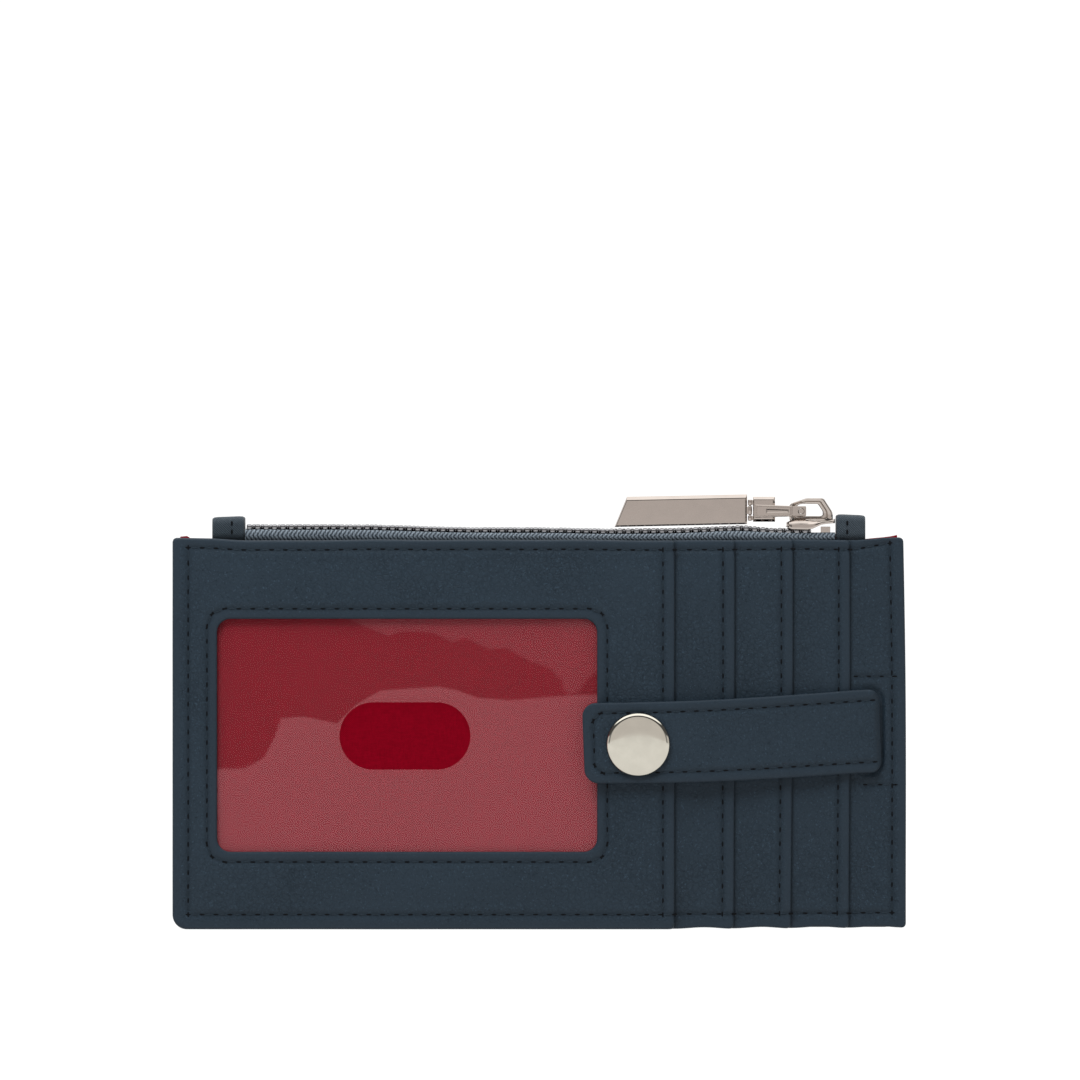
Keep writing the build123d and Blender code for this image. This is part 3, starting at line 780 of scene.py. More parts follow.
def back_face(x, z, grooves=True):
    """Outer face of the back panel, towards +Y."""
    y = BACK_FACE - 0.15 - BACK_PULL * back_pull(x, z) + uneven(x, z) * (1 - back_pull(x, z))
    if grooves:
        d = to_paths(x, z, BACK_SEAM)
        y = y - GROOVE_DEPTH * np.exp(-((d / GROOVE_WIDTH) ** 2)) + 0.07 * np.exp(-(((d - 1.25) / 0.7) ** 2))
    return y


def back_settled(points, left_drop=1.5, right_drop=1.3):
    """Like settled, with the top edge lowered outside the end tabs."""
    moved = settled(points)
    x, z = points[:, 0], points[:, 2]
    drop = left_drop * step((-65.5 - x) / 2.0) + right_drop * step((x - 65.5) / 2.0)
    moved[:, 2] -= drop * step((z - 76.0) / 4.0)
    return moved


def back_inner(x, z):
    rim = np.minimum(np.minimum(x - LEFT, RIGHT - x), z)
    return back_face(x, z, False) - 0.7 - 0.35 * fade(rim - 3.0, 1.5)


roll = 0.35
us = positions(LEFT + roll, RIGHT - roll, 0.8, [LEFT + roll, -STITCH_RIGHT, STITCH_RIGHT, RIGHT - roll])
vs = positions(roll, BACK_TOP - roll, 0.8, [roll, STITCH_BOTTOM, BACK_TOP - 2.6, BACK_TOP - roll])
points, faces = slab(us, vs, back_inner, back_face, SOFT_CORNERS, roll)
back_rim = (LEFT, RIGHT, 0, BACK_TOP)
layers = leather_layers(points, BACK_SEAM, lambda x, z: edge_distance(x, z, *back_rim))
made = new_object("back_panel_leather", back_settled(points), faces, layers)
place(made, "wallet", leather_paint, ["back_panel"])


# ---- Linings, boards and seam strips ----


LINING = 0.12
LINING_INSET = 1.1
HEM = 4.0
LAYER_GAP = 0.04
BOARD = 0.25
BOARD_TOP = 70.3


def thin_sheet(name, size, front, thickness, spacing, paint, node, move=settled):
    """Thin layer between two faces, coarse where nothing of it shows."""
    left, right, bottom, top = size
    roll = thickness / 2
    us = positions(left + roll, right - roll, spacing, [left - 9])
    vs = positions(bottom + roll, top - roll, spacing, [bottom - 9])
    points, faces = slab(us, vs, front, lambda x, z: front(x, z) + thickness, (0.5,) * 4, roll, steps=3)
    made = new_object(name, move(points), faces, uv=points[:, [0, 2]])
    return place(made, "wallet", paint, [node])


def lining(node, size, front, spacing, move=settled):
    """Red cloth sewn flat to the leather behind or in front of it."""
    made = thin_sheet(f"{node}_cloth", size, front, LINING, spacing, lining_paint, node, move)


def lining_settled(points):
    """The back lining shows as a thin line over the right-hand corner and a turned scrap at each end."""
    moved = back_settled(points, 1.6, 0.8)
    x, z = points[:, 0], points[:, 2]
    scrap = 1.1 * step((-71.6 - x) / 1.4) + 0.55 * step((x - 73.0) / 1.2)
    moved[:, 2] += scrap * step((z - 78.5) / 2.5)
    return moved


def pulled_back(y):
    """Depth of a layer that follows the back panel."""
    return lambda x, z: y - BACK_PULL * back_pull(x, z)


for number in range(1, len(PANELS)):
    node, face = f"pocket_lining_{number}", panel_front(number, False)
    size = (LEFT + HEM, box(node)[1][0], HEM, FRONT_TOP - HEM)
    lining(node, size, lambda x, z: face(x, z) - LINING - LAYER_GAP, 1.5)

front_lining_y, back_lining_y = box("front_lining")[0][1], box("back_lining")[0][1]
size = (LEFT + LINING_INSET, RIGHT - LINING_INSET, LINING_INSET, FRONT_TOP - 0.1)
lining("front_lining", size, lambda x, z: front_lining_y, 2.0)
size = (*size[:3], box("back_lining")[1][2])
lining("back_lining", size, pulled_back(back_lining_y), 1.5, lining_settled)

front_layer_y, back_layer_y = box("front_stiffener")[0][1] + 0.12, box("back_stiffener")[0][1] + 0.1
for name, size, y, spacing, paint, node in (
    ("front_board", (-69.0, 61.5, 6.0, BOARD_TOP), front_layer_y, 4.0, board, "front_stiffener"),
    ("back_board", (-59.0, 59.0, 15.0, BOARD_TOP), back_layer_y, 4.0, board, "back_stiffener"),
    ("strap_tail_leather", (62.0, 70.0, 27.5, 54.5), front_layer_y, 2.0, strap_paint, "strap_tail"),
):
    thin_sheet(name, size, lambda x, z: y, BOARD, spacing, paint, node)

pouch_front = front_lining_y + LINING + LAYER_GAP


def pouch_back(x, z):
    return np.minimum(pouch_front + 0.3, pulled_back(back_lining_y)(x, z) - 0.03)


parts = []
for left, right, bottom, top in (
    (LEFT + 0.9, LEFT + 7.0, 4.2, FRONT_TOP),
    (RIGHT - 7.0, RIGHT - 0.9, 4.2, FRONT_TOP),
    (LEFT + 3.0, RIGHT - 3.0, 0.2, 4.0),
):
    us = positions(left, right, 1.5, [left - 9])
    vs = positions(bottom, top, 1.5, [bottom - 9])
    parts.append(slab(us, vs, lambda x, z: pouch_front, pouch_back, (0.3,) * 4, 0.1, steps=3))
made = new_object("pouch_seam_tape", *merged(parts))
place(made, "wallet", leather_paint, ["pouch_seam"])


# ---- Window film ----

# Heights at which the film's ripple turns, from left to right: below the first line it leans forward,
# between the two it leans back, and above the second it leans forward again.
RIPPLE_LOW = [(-71, 33), (-61, 33.3), (-57, 35.5), (-54.7, 40), (-53.5, 43.6), (-49, 44), (-42, 42.6), (-38, 46.5)]
RIPPLE_LOW += [(-33, 49.4), (-21, 50.2), (-17, 49.4), (-13, 47.9), (-6, 47.4), (5, 48.3), (8, 48.5), (16, 48.5)]
RIPPLE_HIGH = [(-71, 71), (-44, 68), (-38.6, 63.6), (-34.4, 61.9), (-31.3, 60.6), (-28.5, 61.7), (-22, 61.3)]
RIPPLE_HIGH += [(-18, 59.3), (-15.5, 60.3), (-10.5, 57.9), (-7, 58.2), (-2.3, 55.5), (2, 54), (4.5, 51.4)]
RIPPLE_HIGH += [(5.3, 48.6), (8, 49), (9.5, 51.5), (11.8, 53.4), (16, 54)]
FILM_FRONT = DEPTH_ZERO + 0.86
FILM_THICKNESS = 0.1


def ripple(x, z):
    """How far the film stands back from the window panel, in millimetres."""
    low = np.interp(x, *zip(*RIPPLE_LOW))
    high = np.maximum(np.interp(x, *zip(*RIPPLE_HIGH)), low + 0.05)
    bottom, top = FILM[2], FILM[3]
    fall_low, rise, fall_high = 0.42, 0.62, 0.30
    rise = rise * np.clip((high - low) / 6.0, 0, 1)
    below = fall_low * (1 - (z - bottom) / (low - bottom))
    inside = rise * (z - low) / (high - low)
    above = rise - fall_high * (z - high) / np.maximum(top - high, 4.0)
    return np.where(z < low, below, np.where(z < high, inside, above))


def film_front(x, z):
    spread = 0.45
    y = sum(ripple(x + a, z + b) for a in (-spread, 0, spread) for b in (-spread, 0, spread)) / 9
    hold = np.clip(edge_distance(x, z, *FILM) / 3.4, 0, 1)
    d = slot_distance(x, z)
    rim = 0.10 * np.exp(-(((d - 0.35) / 0.28) ** 2)) + 0.07 * np.exp(-(((d - 1.25) / 0.25) ** 2))
    return FILM_FRONT + np.clip(y, 0, 0.75) * hold - rim * 0.9 + 0.02 * swell(x, z, 11, 18.0)


def slot_distance(x, z):
    """Distance outside the edge of the thumb slot."""
    left, right, bottom, top = SLOT
    radius = (top - bottom) / 2
    return to_path(x, z, [(left + radius, (bottom + top) / 2), (right - radius, (bottom + top) / 2)]) - radius


radius = (SLOT[3] - SLOT[2]) / 2
steps = np.linspace(0, 1, 66)
points, faces = frame_sheet(
    outline(FILM, (1.0,) * 4, 130),
    outline(SLOT, (radius,) * 4, 130),
    0.35 * steps + 0.65 * steps**2.0,
    film_front,
    lambda x, z: film_front(x, z) + FILM_THICKNESS,
    0.05,
    steps=2,
)
x, z = points[:, 0], points[:, 2]
# Painted reflection: the film's bloom and reflection are painted at full strength where the ripple leans forward below
# the low line, at about a third between the lines where it leans back, and at about two thirds above the high line.
above_low = step((z - np.interp(x, *zip(*RIPPLE_LOW))) / 0.5 + 0.5)
above_high = step((z - np.interp(x, *zip(*RIPPLE_HIGH))) / 0.5 + 0.5)
painted_reflection = 1 - 0.68 * above_low * (1 - above_high) - 0.38 * above_high
made = new_object("window_film_clear", points, faces, {"painted_reflection": painted_reflection})
place(made, "wallet", clear_film, ["window_film"])


# ---- Stitches ----


def bead(half, radius, lift, dive, rings=7, sides=8):
    """One length of thread, flat on its line: along, across and up, with its ends diving in."""
    t = np.cos(np.linspace(0, math.pi, rings + 2))[1:-1][::-1]
    turn = np.linspace(0, 2 * math.pi, sides, endpoint=False)
    wide = radius * (1 - np.abs(t) ** 3) ** 0.5
    along = np.repeat(t * half, sides)
    across = np.outer(wide, np.cos(turn)).ravel()
    up = np.outer(wide, np.sin(turn)).ravel() + lift - dive * np.repeat(t**2, sides)
    ring = np.arange(sides)
    faces = quads(sides, rings, inward=True).tolist()
    faces += [ring[::-1].tolist(), (ring + (rings - 1) * sides).tolist()]
    return np.stack([along, across, up], 1), faces


THREAD = bead(0.98, 0.17, 0.0, 0.22)
# The hole bead is a small bead sunk into the leather and painted near-black, standing for the shade in a needle hole.
HOLE_SHADE_BEAD = bead(0.62, 0.21, -0.09, 0.0, rings=5)


def stitches(name, body, paths, surface, out=-1, pitch=STITCH_PITCH, move=settled):
    """Thread along the paths with painted needle-hole shade at each hole, on a face given by surface(x, z). out is the
    side it faces.
    """
    points, faces, holes, start = [], [], [], 0
    for path in paths:
        for (x1, z1), (x2, z2) in zip(path, path[1:]):
            length = math.hypot(x2 - x1, z2 - z1)
            count = max(1, round(length / pitch))
            cos, sin = (x2 - x1) / length, (z2 - z1) / length
            for k in range(2 * count + 1):
                # Beads at even steps are painted needle-hole shade; those between them are thread.
                shape, hole = (HOLE_SHADE_BEAD, 1.0) if k % 2 == 0 else (THREAD, 0.0)
                at = k / (2 * count)
                local, some = shape
                stretch = length / count / pitch if k % 2 else 1.0
                a, b = local[:, 0] * stretch, local[:, 1]
                x = x1 + (x2 - x1) * at + a * cos - b * sin
                z = z1 + (z2 - z1) * at + a * sin + b * cos
                points.append(np.stack([x, local[:, 2], z], 1))
                faces += [[i + start for i in (face if out < 0 else face[::-1])] for face in some]
                holes.append(np.full(len(x), hole))
                start += len(x)
    points = np.concatenate(points)
    points[:, 1] = surface(points[:, 0], points[:, 2]) + out * points[:, 1]
    made = new_object(name, move(points), faces, {"hole": np.concatenate(holes)})
    return place(made, body, thread)


for number, name in enumerate(PANELS):
    stitches(f"{name}_stitches", "wallet", panel_seams(number), panel_front(number))
stitches("back_panel_stitches", "wallet", BACK_SEAM, back_face, out=1, move=back_settled)


# ---- Strap ----

STRAP_CENTRE = ((STRAP[0] + STRAP[1]) / 2, STRAP_MIDDLE)
STRAP_LENGTH = STRAP[1] - STRAP[0]


def strap_sag(x):
    """How far the strap hangs below a straight line."""
    return -0.6 * np.sin(math.pi * np.clip((x - 5) / 60, 0, 1))


def strap_spread(u):
    """The strap widens a little towards its root."""
    return 1 + 0.0007 * (u + 3)


def strap_turn(u, v):
    """Strap's own length and height to X and Z."""
    cos, sin = math.cos(STRAP_TILT), math.sin(STRAP_TILT)
    v = v * strap_spread(u)
    x = STRAP_CENTRE[0] + u * cos - v * sin
    return x, STRAP_CENTRE[1] + u * sin + v * cos + strap_sag(x)


def strap_own(x, z):
    cos, sin = math.cos(STRAP_TILT), math.sin(STRAP_TILT)
    dx, dz = x - STRAP_CENTRE[0], z - STRAP_CENTRE[1] - strap_sag(x)
    u = dx * cos + dz * sin
    return u, (-dx * sin + dz * cos) / strap_spread(u)


def strap_seam():
    """Seam round the strap, in X and Z."""
    end, side, cut = STRAP_LENGTH / 2 - STRAP_SEAM_INSET, STRAP_HEIGHT / 2 - STRAP_SEAM_INSET, 1.6
    runs = np.linspace(end + 0.8, -end + cut, 6)
    own = [(u, side) for u in runs] + [(-end, side - cut), (-end, -side + cut)] + [(u, -side) for u in runs[::-1]]
    return [[strap_turn(u, v) for u, v in own]]


STRAP_SEAM = strap_seam()


def strap_line(x):
    """Depth of the strap's face along its length, before its root turns in."""
    soft = 2.2
    return STRAP_FACE + STRAP_SLOPE * soft * np.logaddexp(0, (x - STRAP_BEND) / soft)


def strap_front(x, z, grooves=True):
    y = strap_line(x)
    u, v = strap_own(x, z)
    turn = 1.7
    t = np.clip((u - (STRAP_LENGTH / 2 - turn)) / turn, 0, 1)
    y = y + turn * (1 - np.sqrt(np.maximum(1 - t * t, 0)))
    y = y + 0.05 * swell(x, z, 5, 20.0) + 0.05
    if grooves:
        d = to_paths(x, z, STRAP_SEAM)
        y = y + 0.18 * np.exp(-((d / 0.5) ** 2)) - 0.05 * np.exp(-(((d - 1.2) / 0.6) ** 2))
    return y


def strap_back(x, z):
    root = PANEL_FACES[-1] + 0.45
    return np.minimum(strap_front(x, z, False) + 0.9, root)


roll = 0.42
corners = (2.3, 2.9, 2.9, 2.3)
half_u, half_v = STRAP_LENGTH / 2 - roll, STRAP_HEIGHT / 2 - roll
us = positions(-half_u, half_u, 0.5, [-half_u, -half_u + 1.6, half_u])
vs = positions(-half_v, half_v, 0.5, [-half_v, -half_v + 1.6, half_v - 1.6, half_v])
points, faces = slab(us, vs, strap_front, strap_back, corners, roll, strap_turn)


def strap_edge(x, z):
    u, v = strap_own(x, z)
    return edge_distance(u, v, -STRAP_LENGTH / 2, STRAP_LENGTH / 2 + 9, -STRAP_HEIGHT / 2, STRAP_HEIGHT / 2)


STRAP_BLEND = ("wallet", "strap", (0.0712, 0.0006, 0.041), (0.066, 0.0006, 0.041))
layers = leather_layers(points, STRAP_SEAM, strap_edge, 1.5)
u, v = strap_own(points[:, 0], points[:, 2])
# Painted shade on the strap's end where it turns in towards the slit.
layers["line"] = np.maximum(layers["line"], step((u - STRAP_LENGTH / 2 + 1.7) / 1.4))
made = new_object("strap_leather", points, faces, layers)
place(made, STRAP_BLEND, strap_paint, ["strap_outer"])

us = positions(-half_u + 0.3, half_u - 0.5, 0.9, [-half_u, half_u])
vs = positions(-half_v + 0.3, half_v - 0.3, 0.9, [-half_v, half_v])


def strap_lining_front(x, z):
    return strap_back(x, z) + 0.02


def strap_lining_back(x, z):
    return np.minimum(strap_lining_front(x, z) + 0.45, PANEL_FACES[-1] + 0.5)


points, faces = slab(us, vs, strap_lining_front, strap_lining_back, corners, 0.2, strap_turn, steps=4)
made = new_object("strap_lining_leather", points, faces, leather_layers(points, STRAP_SEAM, strap_edge))
place(made, STRAP_BLEND, strap_paint, ["strap_lining"])
stitches("strap_stitches", STRAP_BLEND, STRAP_SEAM, strap_front, pitch=3.1, move=lambda points: points)


# ---- Snap ----


def lathe(profile, centre, count=72):
    """Turned shape about an axis along Y. profile is (radius, y) from the front to the back."""
    turn = np.linspace(0, 2 * math.pi, count, endpoint=False)
    sections = []
    for radius, y in profile:
        ring = np.stack([centre[0] + radius * np.cos(turn), np.full(count, y), centre[1] + radius * np.sin(turn)], 1)
        sections.append(ring)
    return turned_over(*loft(sections))


snap_low, snap_high = box("snap_cap")
SNAP = ((snap_low[0] + snap_high[0]) / 2, (snap_low[2] + snap_high[2]) / 2)
cap_radius, cap_face = (snap_high[0] - snap_low[0]) / 2, snap_low[1]
rim_radius = 0.95
flat = cap_radius - rim_radius
sagitta = 0.22
profile = [(0.05 + flat * t, cap_face + 0.13 * t * t + 0.09 * t**6) for t in np.linspace(0, 1, 18)]
for angle in np.linspace(0.15, math.pi / 2, 9):
    profile.append((flat + rim_radius * math.sin(angle), cap_face + sagitta + rim_radius * (1 - math.cos(angle))))
profile.append((cap_radius, cap_face + 1.62))
profile.append((cap_radius - 0.15, cap_face + 1.78))
profile.append((cap_radius - 1.2, cap_face + 1.80))
profile.append((1.45, cap_face + 1.80))
profile.append((1.45, snap_high[1] - 0.02))
profile.append((0.3, snap_high[1]))
points, faces = lathe(profile, SNAP, 96)
place(new_object("snap_cap_dome", points, faces), "strap", snap_nickel, ["snap_cap"])


# ---- Zip ----

CHAIN_HALF = 61.3
TAPE_TOP = 82.1
TAPE_THICK = 0.34
TOOTH_MIDDLE = 82.25


def chain_rise(x):
    """How far the loose chain rises above a straight line."""
    return 0.6 * step((-14 - x) / 26) + 0.34 * np.exp(-(((x - 41) / 6) ** 2)) - 0.3 * np.exp(-(((x - 17) / 13) ** 2))


def tape_section(side, fold):
    """Centreline of the free edge of the tape, from its fold up and in to the teeth: (y, z) points."""
    outer = CHAIN_Y + side * 2.66
    inner = CHAIN_Y + side * 1.25
    line = [(outer, fold - 0.05), (outer - side * -0.02, (fold + TAPE_TOP) / 2)]
    turn = 0.55
    for angle in np.linspace(0, math.pi / 2, 6):
        line.append((outer - side * turn * (1 - math.cos(angle)), TAPE_TOP - TAPE_THICK / 2 - turn + turn * math.sin(angle)))
    line.append((inner, TAPE_TOP - TAPE_THICK / 2))
    return np.array(line)


def tape_half(side, fold, start, end, seed):
    """Half the length of one tape edge, as a closed strip. The rear one stands a little higher."""
    line = tape_section(side, fold)
    extra = 0.25 if side > 0 else 0.0
    tangent = np.gradient(line, axis=0)
    normal = np.stack([-tangent[:, 1], tangent[:, 0]], 1) / np.hypot(*tangent.T)[:, None]
    ring = np.concatenate([line + normal * TAPE_THICK / 2, (line - normal * TAPE_THICK / 2)[::-1]])
    run = np.concatenate([[0], np.cumsum(np.hypot(*np.diff(line, axis=0).T))])
    arc = np.concatenate([run, run[::-1]])
    stations = np.linspace(start, end, 150)
    sections, uv = [], []
    for x in stations:
        sway = 0.10 * swell(np.array([x]), np.array([0.0]), seed, 14.0)[0]
        lift = 0.05 * swell(np.array([x]), np.array([7.0]), seed + 1, 9.0)[0] + chain_rise(x) + extra * step((48 - x) / 6)
        share = np.clip((ring[:, 1] - fold) / (TAPE_TOP - fold), 0, 1)
        y = ring[:, 0] + sway * share * (1 - share) * 2
        z = ring[:, 1] + lift * share - 0.05
        sections.append(at_x(x, np.stack([y, z], 1)))
        uv.append(np.stack([np.full(len(ring), x), arc], 1))
    shape = loft(sections)
    shape = turned_over(*shape) if (end > start) == (side > 0) else shape
    return *shape, np.concatenate(uv)


def tooth(x, side, seed):
    """One moulded tooth: two legs gripping the tape edge and a head that meets the other row."""
    draw = np.random.default_rng(seed)
    middle = TOOTH_MIDDLE + draw.uniform(-0.04, 0.04) + chain_rise(x) + 0.22 * step((48 - x) / 6)
    profile = [
        (2.35, 0.30, 0.25),
        (2.25, 0.50, 0.55),
        (1.95, 0.56, 0.72),
        (1.1, 0.55, 0.76),
        (0.7, 0.42, 0.74),
        (0.1, 0.38, 0.70),
        (-0.3, 0.36, 0.62),
        (-0.52, 0.20, 0.35),
    ]
    turn = np.linspace(0, 2 * math.pi, 12, endpoint=False)
    sections = []
    for along, half_x, half_z in profile:
        c, s = np.cos(turn), np.sin(turn)
        ring_x = x + half_x * np.sign(c) * np.abs(c) ** 0.6
        ring_z = middle + half_z * np.sign(s) * np.abs(s) ** 0.6
        sections.append(np.stack([ring_x, np.full(len(turn), CHAIN_Y + side * along), ring_z], 1))
    return turned_over(*loft(sections)) if side < 0 else loft(sections)


for name, side, fold in (("front", -1, FRONT_TOP), ("rear", 1, box("back_lining")[1][2])):
    body = f"zip_row_{name}"
    for half, start in (("left", -CHAIN_HALF), ("right", CHAIN_HALF)):
        end_point = (0.0, CHAIN_Y * MM, 0.082)
        joint = ("wallet", body, (start * MM, CHAIN_Y * MM, 0.082), end_point)
        points, faces, uv = tape_half(side, fold, start, 0.0, 21 if side < 0 else 31)
        nodes = [f"zip_tape_edge_{name}"]
        place(new_object(f"zip_tape_edge_{name}_{half}", points, faces, uv=uv), joint, tape_paint, nodes)
        first = -60.4 + (0 if side < 0 else 0.875)
        teeth = []
        for k in range(67):
            x = first + 1.75 * k
            if (x < 0) == (start < 0):
                teeth.append(tooth(x, side, 100 + k))
        points, faces = merged(teeth)
        made = new_object(f"zip_teeth_{name}_{half}", points, faces)
        place(made, joint, tooth_metal, [f"zip_teeth_{name}"])

SEWN_FROM = 70.6
tape_front_y, tape_rear_y = box("zip_tape_front")[0][1] + 0.03, box("zip_tape_rear")[0][1] - 0.02
sewn = (LEFT + 1.2, RIGHT - 1.2, SEWN_FROM, FRONT_TOP - 0.05)
thin_sheet("zip_tape_front_margin", sewn, lambda x, z: tape_front_y, 0.3, 2.0, tape_paint, "zip_tape_front")
sewn = (*sewn[:3], box("zip_tape_rear")[1][2] - 0.05)
move = lambda points: back_settled(points, 2.2, 2.2)
thin_sheet("zip_tape_rear_margin", sewn, pulled_back(tape_rear_y), 0.2, 2.0, tape_paint, "zip_tape_rear", move)


def end_tab(name, left, right, top, outward):
    """Folded cloth tab over one end of the chain: rounded top, thinner at its outer side."""
    turn = np.linspace(0, math.pi, 15)
    sections, uv = [], []
    stations = np.concatenate([[left], left + np.array([0.12, 0.4]), np.linspace(left + 1, right - 1, 12)])
    stations = np.concatenate([stations, right - np.array([0.4, 0.12]), [right]])
    for x in stations:
        share = (x - left) / (right - left)
        out_share = share if outward > 0 else 1 - share
        end = min(x - left, right - x)
        tuck = 0.35 * math.exp(-end / 0.25)
        half = 2.78 - 0.95 * out_share**1.5 - tuck
        high = top - tuck - 0.25 * out_share
        shift = -0.75 * out_share**1.5
        middle = CHAIN_Y + shift
        bend = min(half * 0.75, 1.5)
        side = [(middle - half, FRONT_TOP + 0.02), (middle - half - 0.02, 82.0), (middle - half, 83.2)]
        over = [
            (middle - (half - bend) * math.copysign(1, math.cos(a)) - bend * math.cos(a), high - bend + bend * math.sin(a))
            for a in turn
        ]
        other = [(middle + half, 83.2), (middle + half + 0.02, 82.4), (middle + half, 81.5)]
        ring = np.array(side + over + other)
        run = np.concatenate([[0], np.cumsum(np.hypot(*np.diff(ring, axis=0).T))])
        uv.append(np.stack([np.full(len(ring), x), run], 1))
        ring[:, 0] += 0.05 * swell(np.full(len(ring), x), ring[:, 1], 41, 5.0)
        sections.append(at_x(x, ring))
    made = new_object(f"{name}_cloth", *turned_over(*loft(sections)), uv=np.concatenate(uv))
    return place(made, "wallet", tab_paint, [name])


for name, outward, at in (("zip_end_tab_left", -1, -64.0), ("zip_end_tab_right", 1, 63.8)):
    low, high = box(name)
    end_tab(name, low[0], high[0], high[2], outward)
    parts = []
    for middle in (84.0, 82.2):
        local, some = bead(0.55, 0.2, 0.0, 0.1, rings=5)
        thread_points = np.stack([at + local[:, 1], CHAIN_Y - 2.78 - 0.06 - local[:, 2], middle + local[:, 0]], 1)
        parts.append((thread_points, some))
    points, faces = merged(parts)
    # These stitch beads are coloured all over with the thread's near-black painted needle-hole shade.
    made = new_object(f"{name}_stitch", points, faces, {"hole": np.ones(len(points))})
    place(made, "wallet", thread)


# ---- Puller ----


def inset(corners, amounts):
    """Anticlockwise polygon with each side moved inwards by its own amount."""
    lines = []
    for (x1, z1), (x2, z2), amount in zip(corners, corners[1:] + corners[:1], amounts):
        length = math.hypot(x2 - x1, z2 - z1)
        nx, nz = (z1 - z2) / length, (x2 - x1) / length
        lines.append((nx, nz, nx * x1 + nz * z1 + amount))
    made = []
    for (a1, b1, c1), (a2, b2, c2) in zip(lines[-1:] + lines[:-1], lines):
        det = a1 * b2 - a2 * b1
        made.append(((c1 * b2 - c2 * b1) / det, (a1 * c2 - a2 * c1) / det))
    return np.array(made)


def plate(corners, levels):
    """Faceted plate from front to back. levels is (inward move of each side, y from the chain's middle)."""
    sections = []
    for amounts, y in levels:
        at = inset(corners, amounts if isinstance(amounts, tuple) else (amounts,) * len(corners))
        sections.append(at_depth(at, CHAIN_Y + y))
    return turned_over(*loft(sections))


def mirrored(points, faces):
    """The same shape on the far side of the chain's middle plane."""
    points = points.copy()
    points[:, 1] = 2 * CHAIN_Y - points[:, 1]
    return turned_over(points, faces)


def both_ways(levels):
    """Levels from the front to the middle, carried on to the back."""
    return levels + [(amounts, -y) for amounts, y in levels[::-1]]


def barrel(x, low, high, bore, radius, count=28):
    """Hinge knuckle: a short upright tube with rounded ends."""
    soft = 0.14
    profile = [(bore, low + 0.02), (radius - 2 * soft / 3, low), (radius, low + soft)]
    profile += [(radius + 0.03, (low + high) / 2), (radius, high - soft), (radius - 2 * soft / 3, high), (bore, high - 0.02)]
    turn = np.linspace(0, 2 * math.pi, count, endpoint=False)
    rings = [np.stack([x + r * np.cos(turn), CHAIN_Y + r * np.sin(turn), np.full(count, z)], 1) for r, z in profile]
    return np.concatenate(rings), quads(count, len(profile), closed=True, inward=True).tolist()


def block(left, right, half, bottom, top):
    corners = [(left, bottom), (right, bottom), (right, top), (left, top)]
    return plate(corners, [(0.0, -half), (0.0, half)])


def fine_edges(made, width, segments, angle):
    """Small rounding on every edge of a metal piece sharper than this many degrees."""
    soft = made.modifiers.new("soft_edges", "BEVEL")
    soft.width = width * MM
    soft.segments = segments
    soft.limit_method = "ANGLE"
    soft.angle_limit = math.radians(angle)
    soft.harden_normals = True


def plated(node, body, points, faces, width=0.05):
    """Detailed metal piece in place of a CAD node."""
    made = new_object(f"{node}_plated", points, faces)
    fine_edges(place(made, body, nickel, [node]), width, 2, 8)


def seen_from(centre, corners, count, soft):
    """Loop of points on a convex outline, one for each direction from its centre, with softened corners."""
    turn = np.linspace(0, 2 * math.pi, count, endpoint=False)
    reach = np.full(count, 1e9)
    for (x1, z1), (x2, z2) in zip(corners, corners[1:] + corners[:1]):
        nx, nz = z2 - z1, x1 - x2
        across = nx * np.cos(turn) + nz * np.sin(turn)
        gap = nx * (x1 - centre[0]) + nz * (z1 - centre[1])
        reach = np.where(across > 1e-6, np.minimum(reach, gap / np.maximum(across, 1e-6)), reach)
    reach = sum(np.roll(reach, k) for k in range(-soft, soft + 1)) / (2 * soft + 1)
    return np.stack([centre[0] + reach * np.cos(turn), centre[1] + reach * np.sin(turn)], 1)


bar_low, bar_high = box("puller_bar")
BAR_HALF = (bar_high[1] - bar_low[1]) / 2
BAR_CORNERS = [(bar_low[0], 83.2), (43.1, 83.8), (43.1, bar_high[2]), (18.1, bar_high[2] - 0.5)]
BAR_LEVELS = [
    ((0.34, 0.46, 0.84, 0.32), -BAR_HALF),
    ((0.24, 0.32, 0.68, 0.20), -BAR_HALF + 0.04),
    (0.0, -0.14),
]
KNUCKLE_X, KNUCKLE_BORE, KNUCKLE_RADIUS = 43.7, 0.27, 0.42
bar_parts = [
    plate(BAR_CORNERS, both_ways(BAR_LEVELS)),
    barrel(KNUCKLE_X, 85.74, 87.56, KNUCKLE_BORE, KNUCKLE_RADIUS),
    block(42.9, 43.44, 0.3, 85.9, 87.4),
]
plated("puller_bar", "bar", *merged(bar_parts))

link_low, link_high = box("puller_link")
ARM_OUT, ARM_IN = (link_high[1] - link_low[1]) / 2, 1.15
CLIP = [(44.3, link_low[2]), (48.9, link_low[2]), (48.9, link_high[2]), (44.3, link_high[2])]
CLIP_LEVELS = [((0.66, 0.50, 0.66, 0.25), -ARM_IN), ((0.54, 0.38, 0.54, 0.15), -ARM_IN + 0.03), (0.0, -0.62)]
ARM = [(44.75, 85.15), (52.45, 85.4), (52.45, 87.6), (44.75, 87.85)]
ARM_LEVELS = [(0.36, -ARM_OUT + 0.34), (0.30, -ARM_OUT), (0.10, -ARM_OUT), (0.0, -ARM_OUT + 0.1), (0.0, -ARM_IN)]
RIB = [(47.0, 86.0), (51.7, 86.15), (51.7, 86.85), (47.0, 87.0)]
RIB_LEVELS = [(0.26, -ARM_OUT + 0.18), (0.04, -ARM_OUT + 0.24), (0.0, -ARM_OUT + 0.4)]
CROSS_PIN = (54.3, 86.5)
PIN_HOLE = 0.6
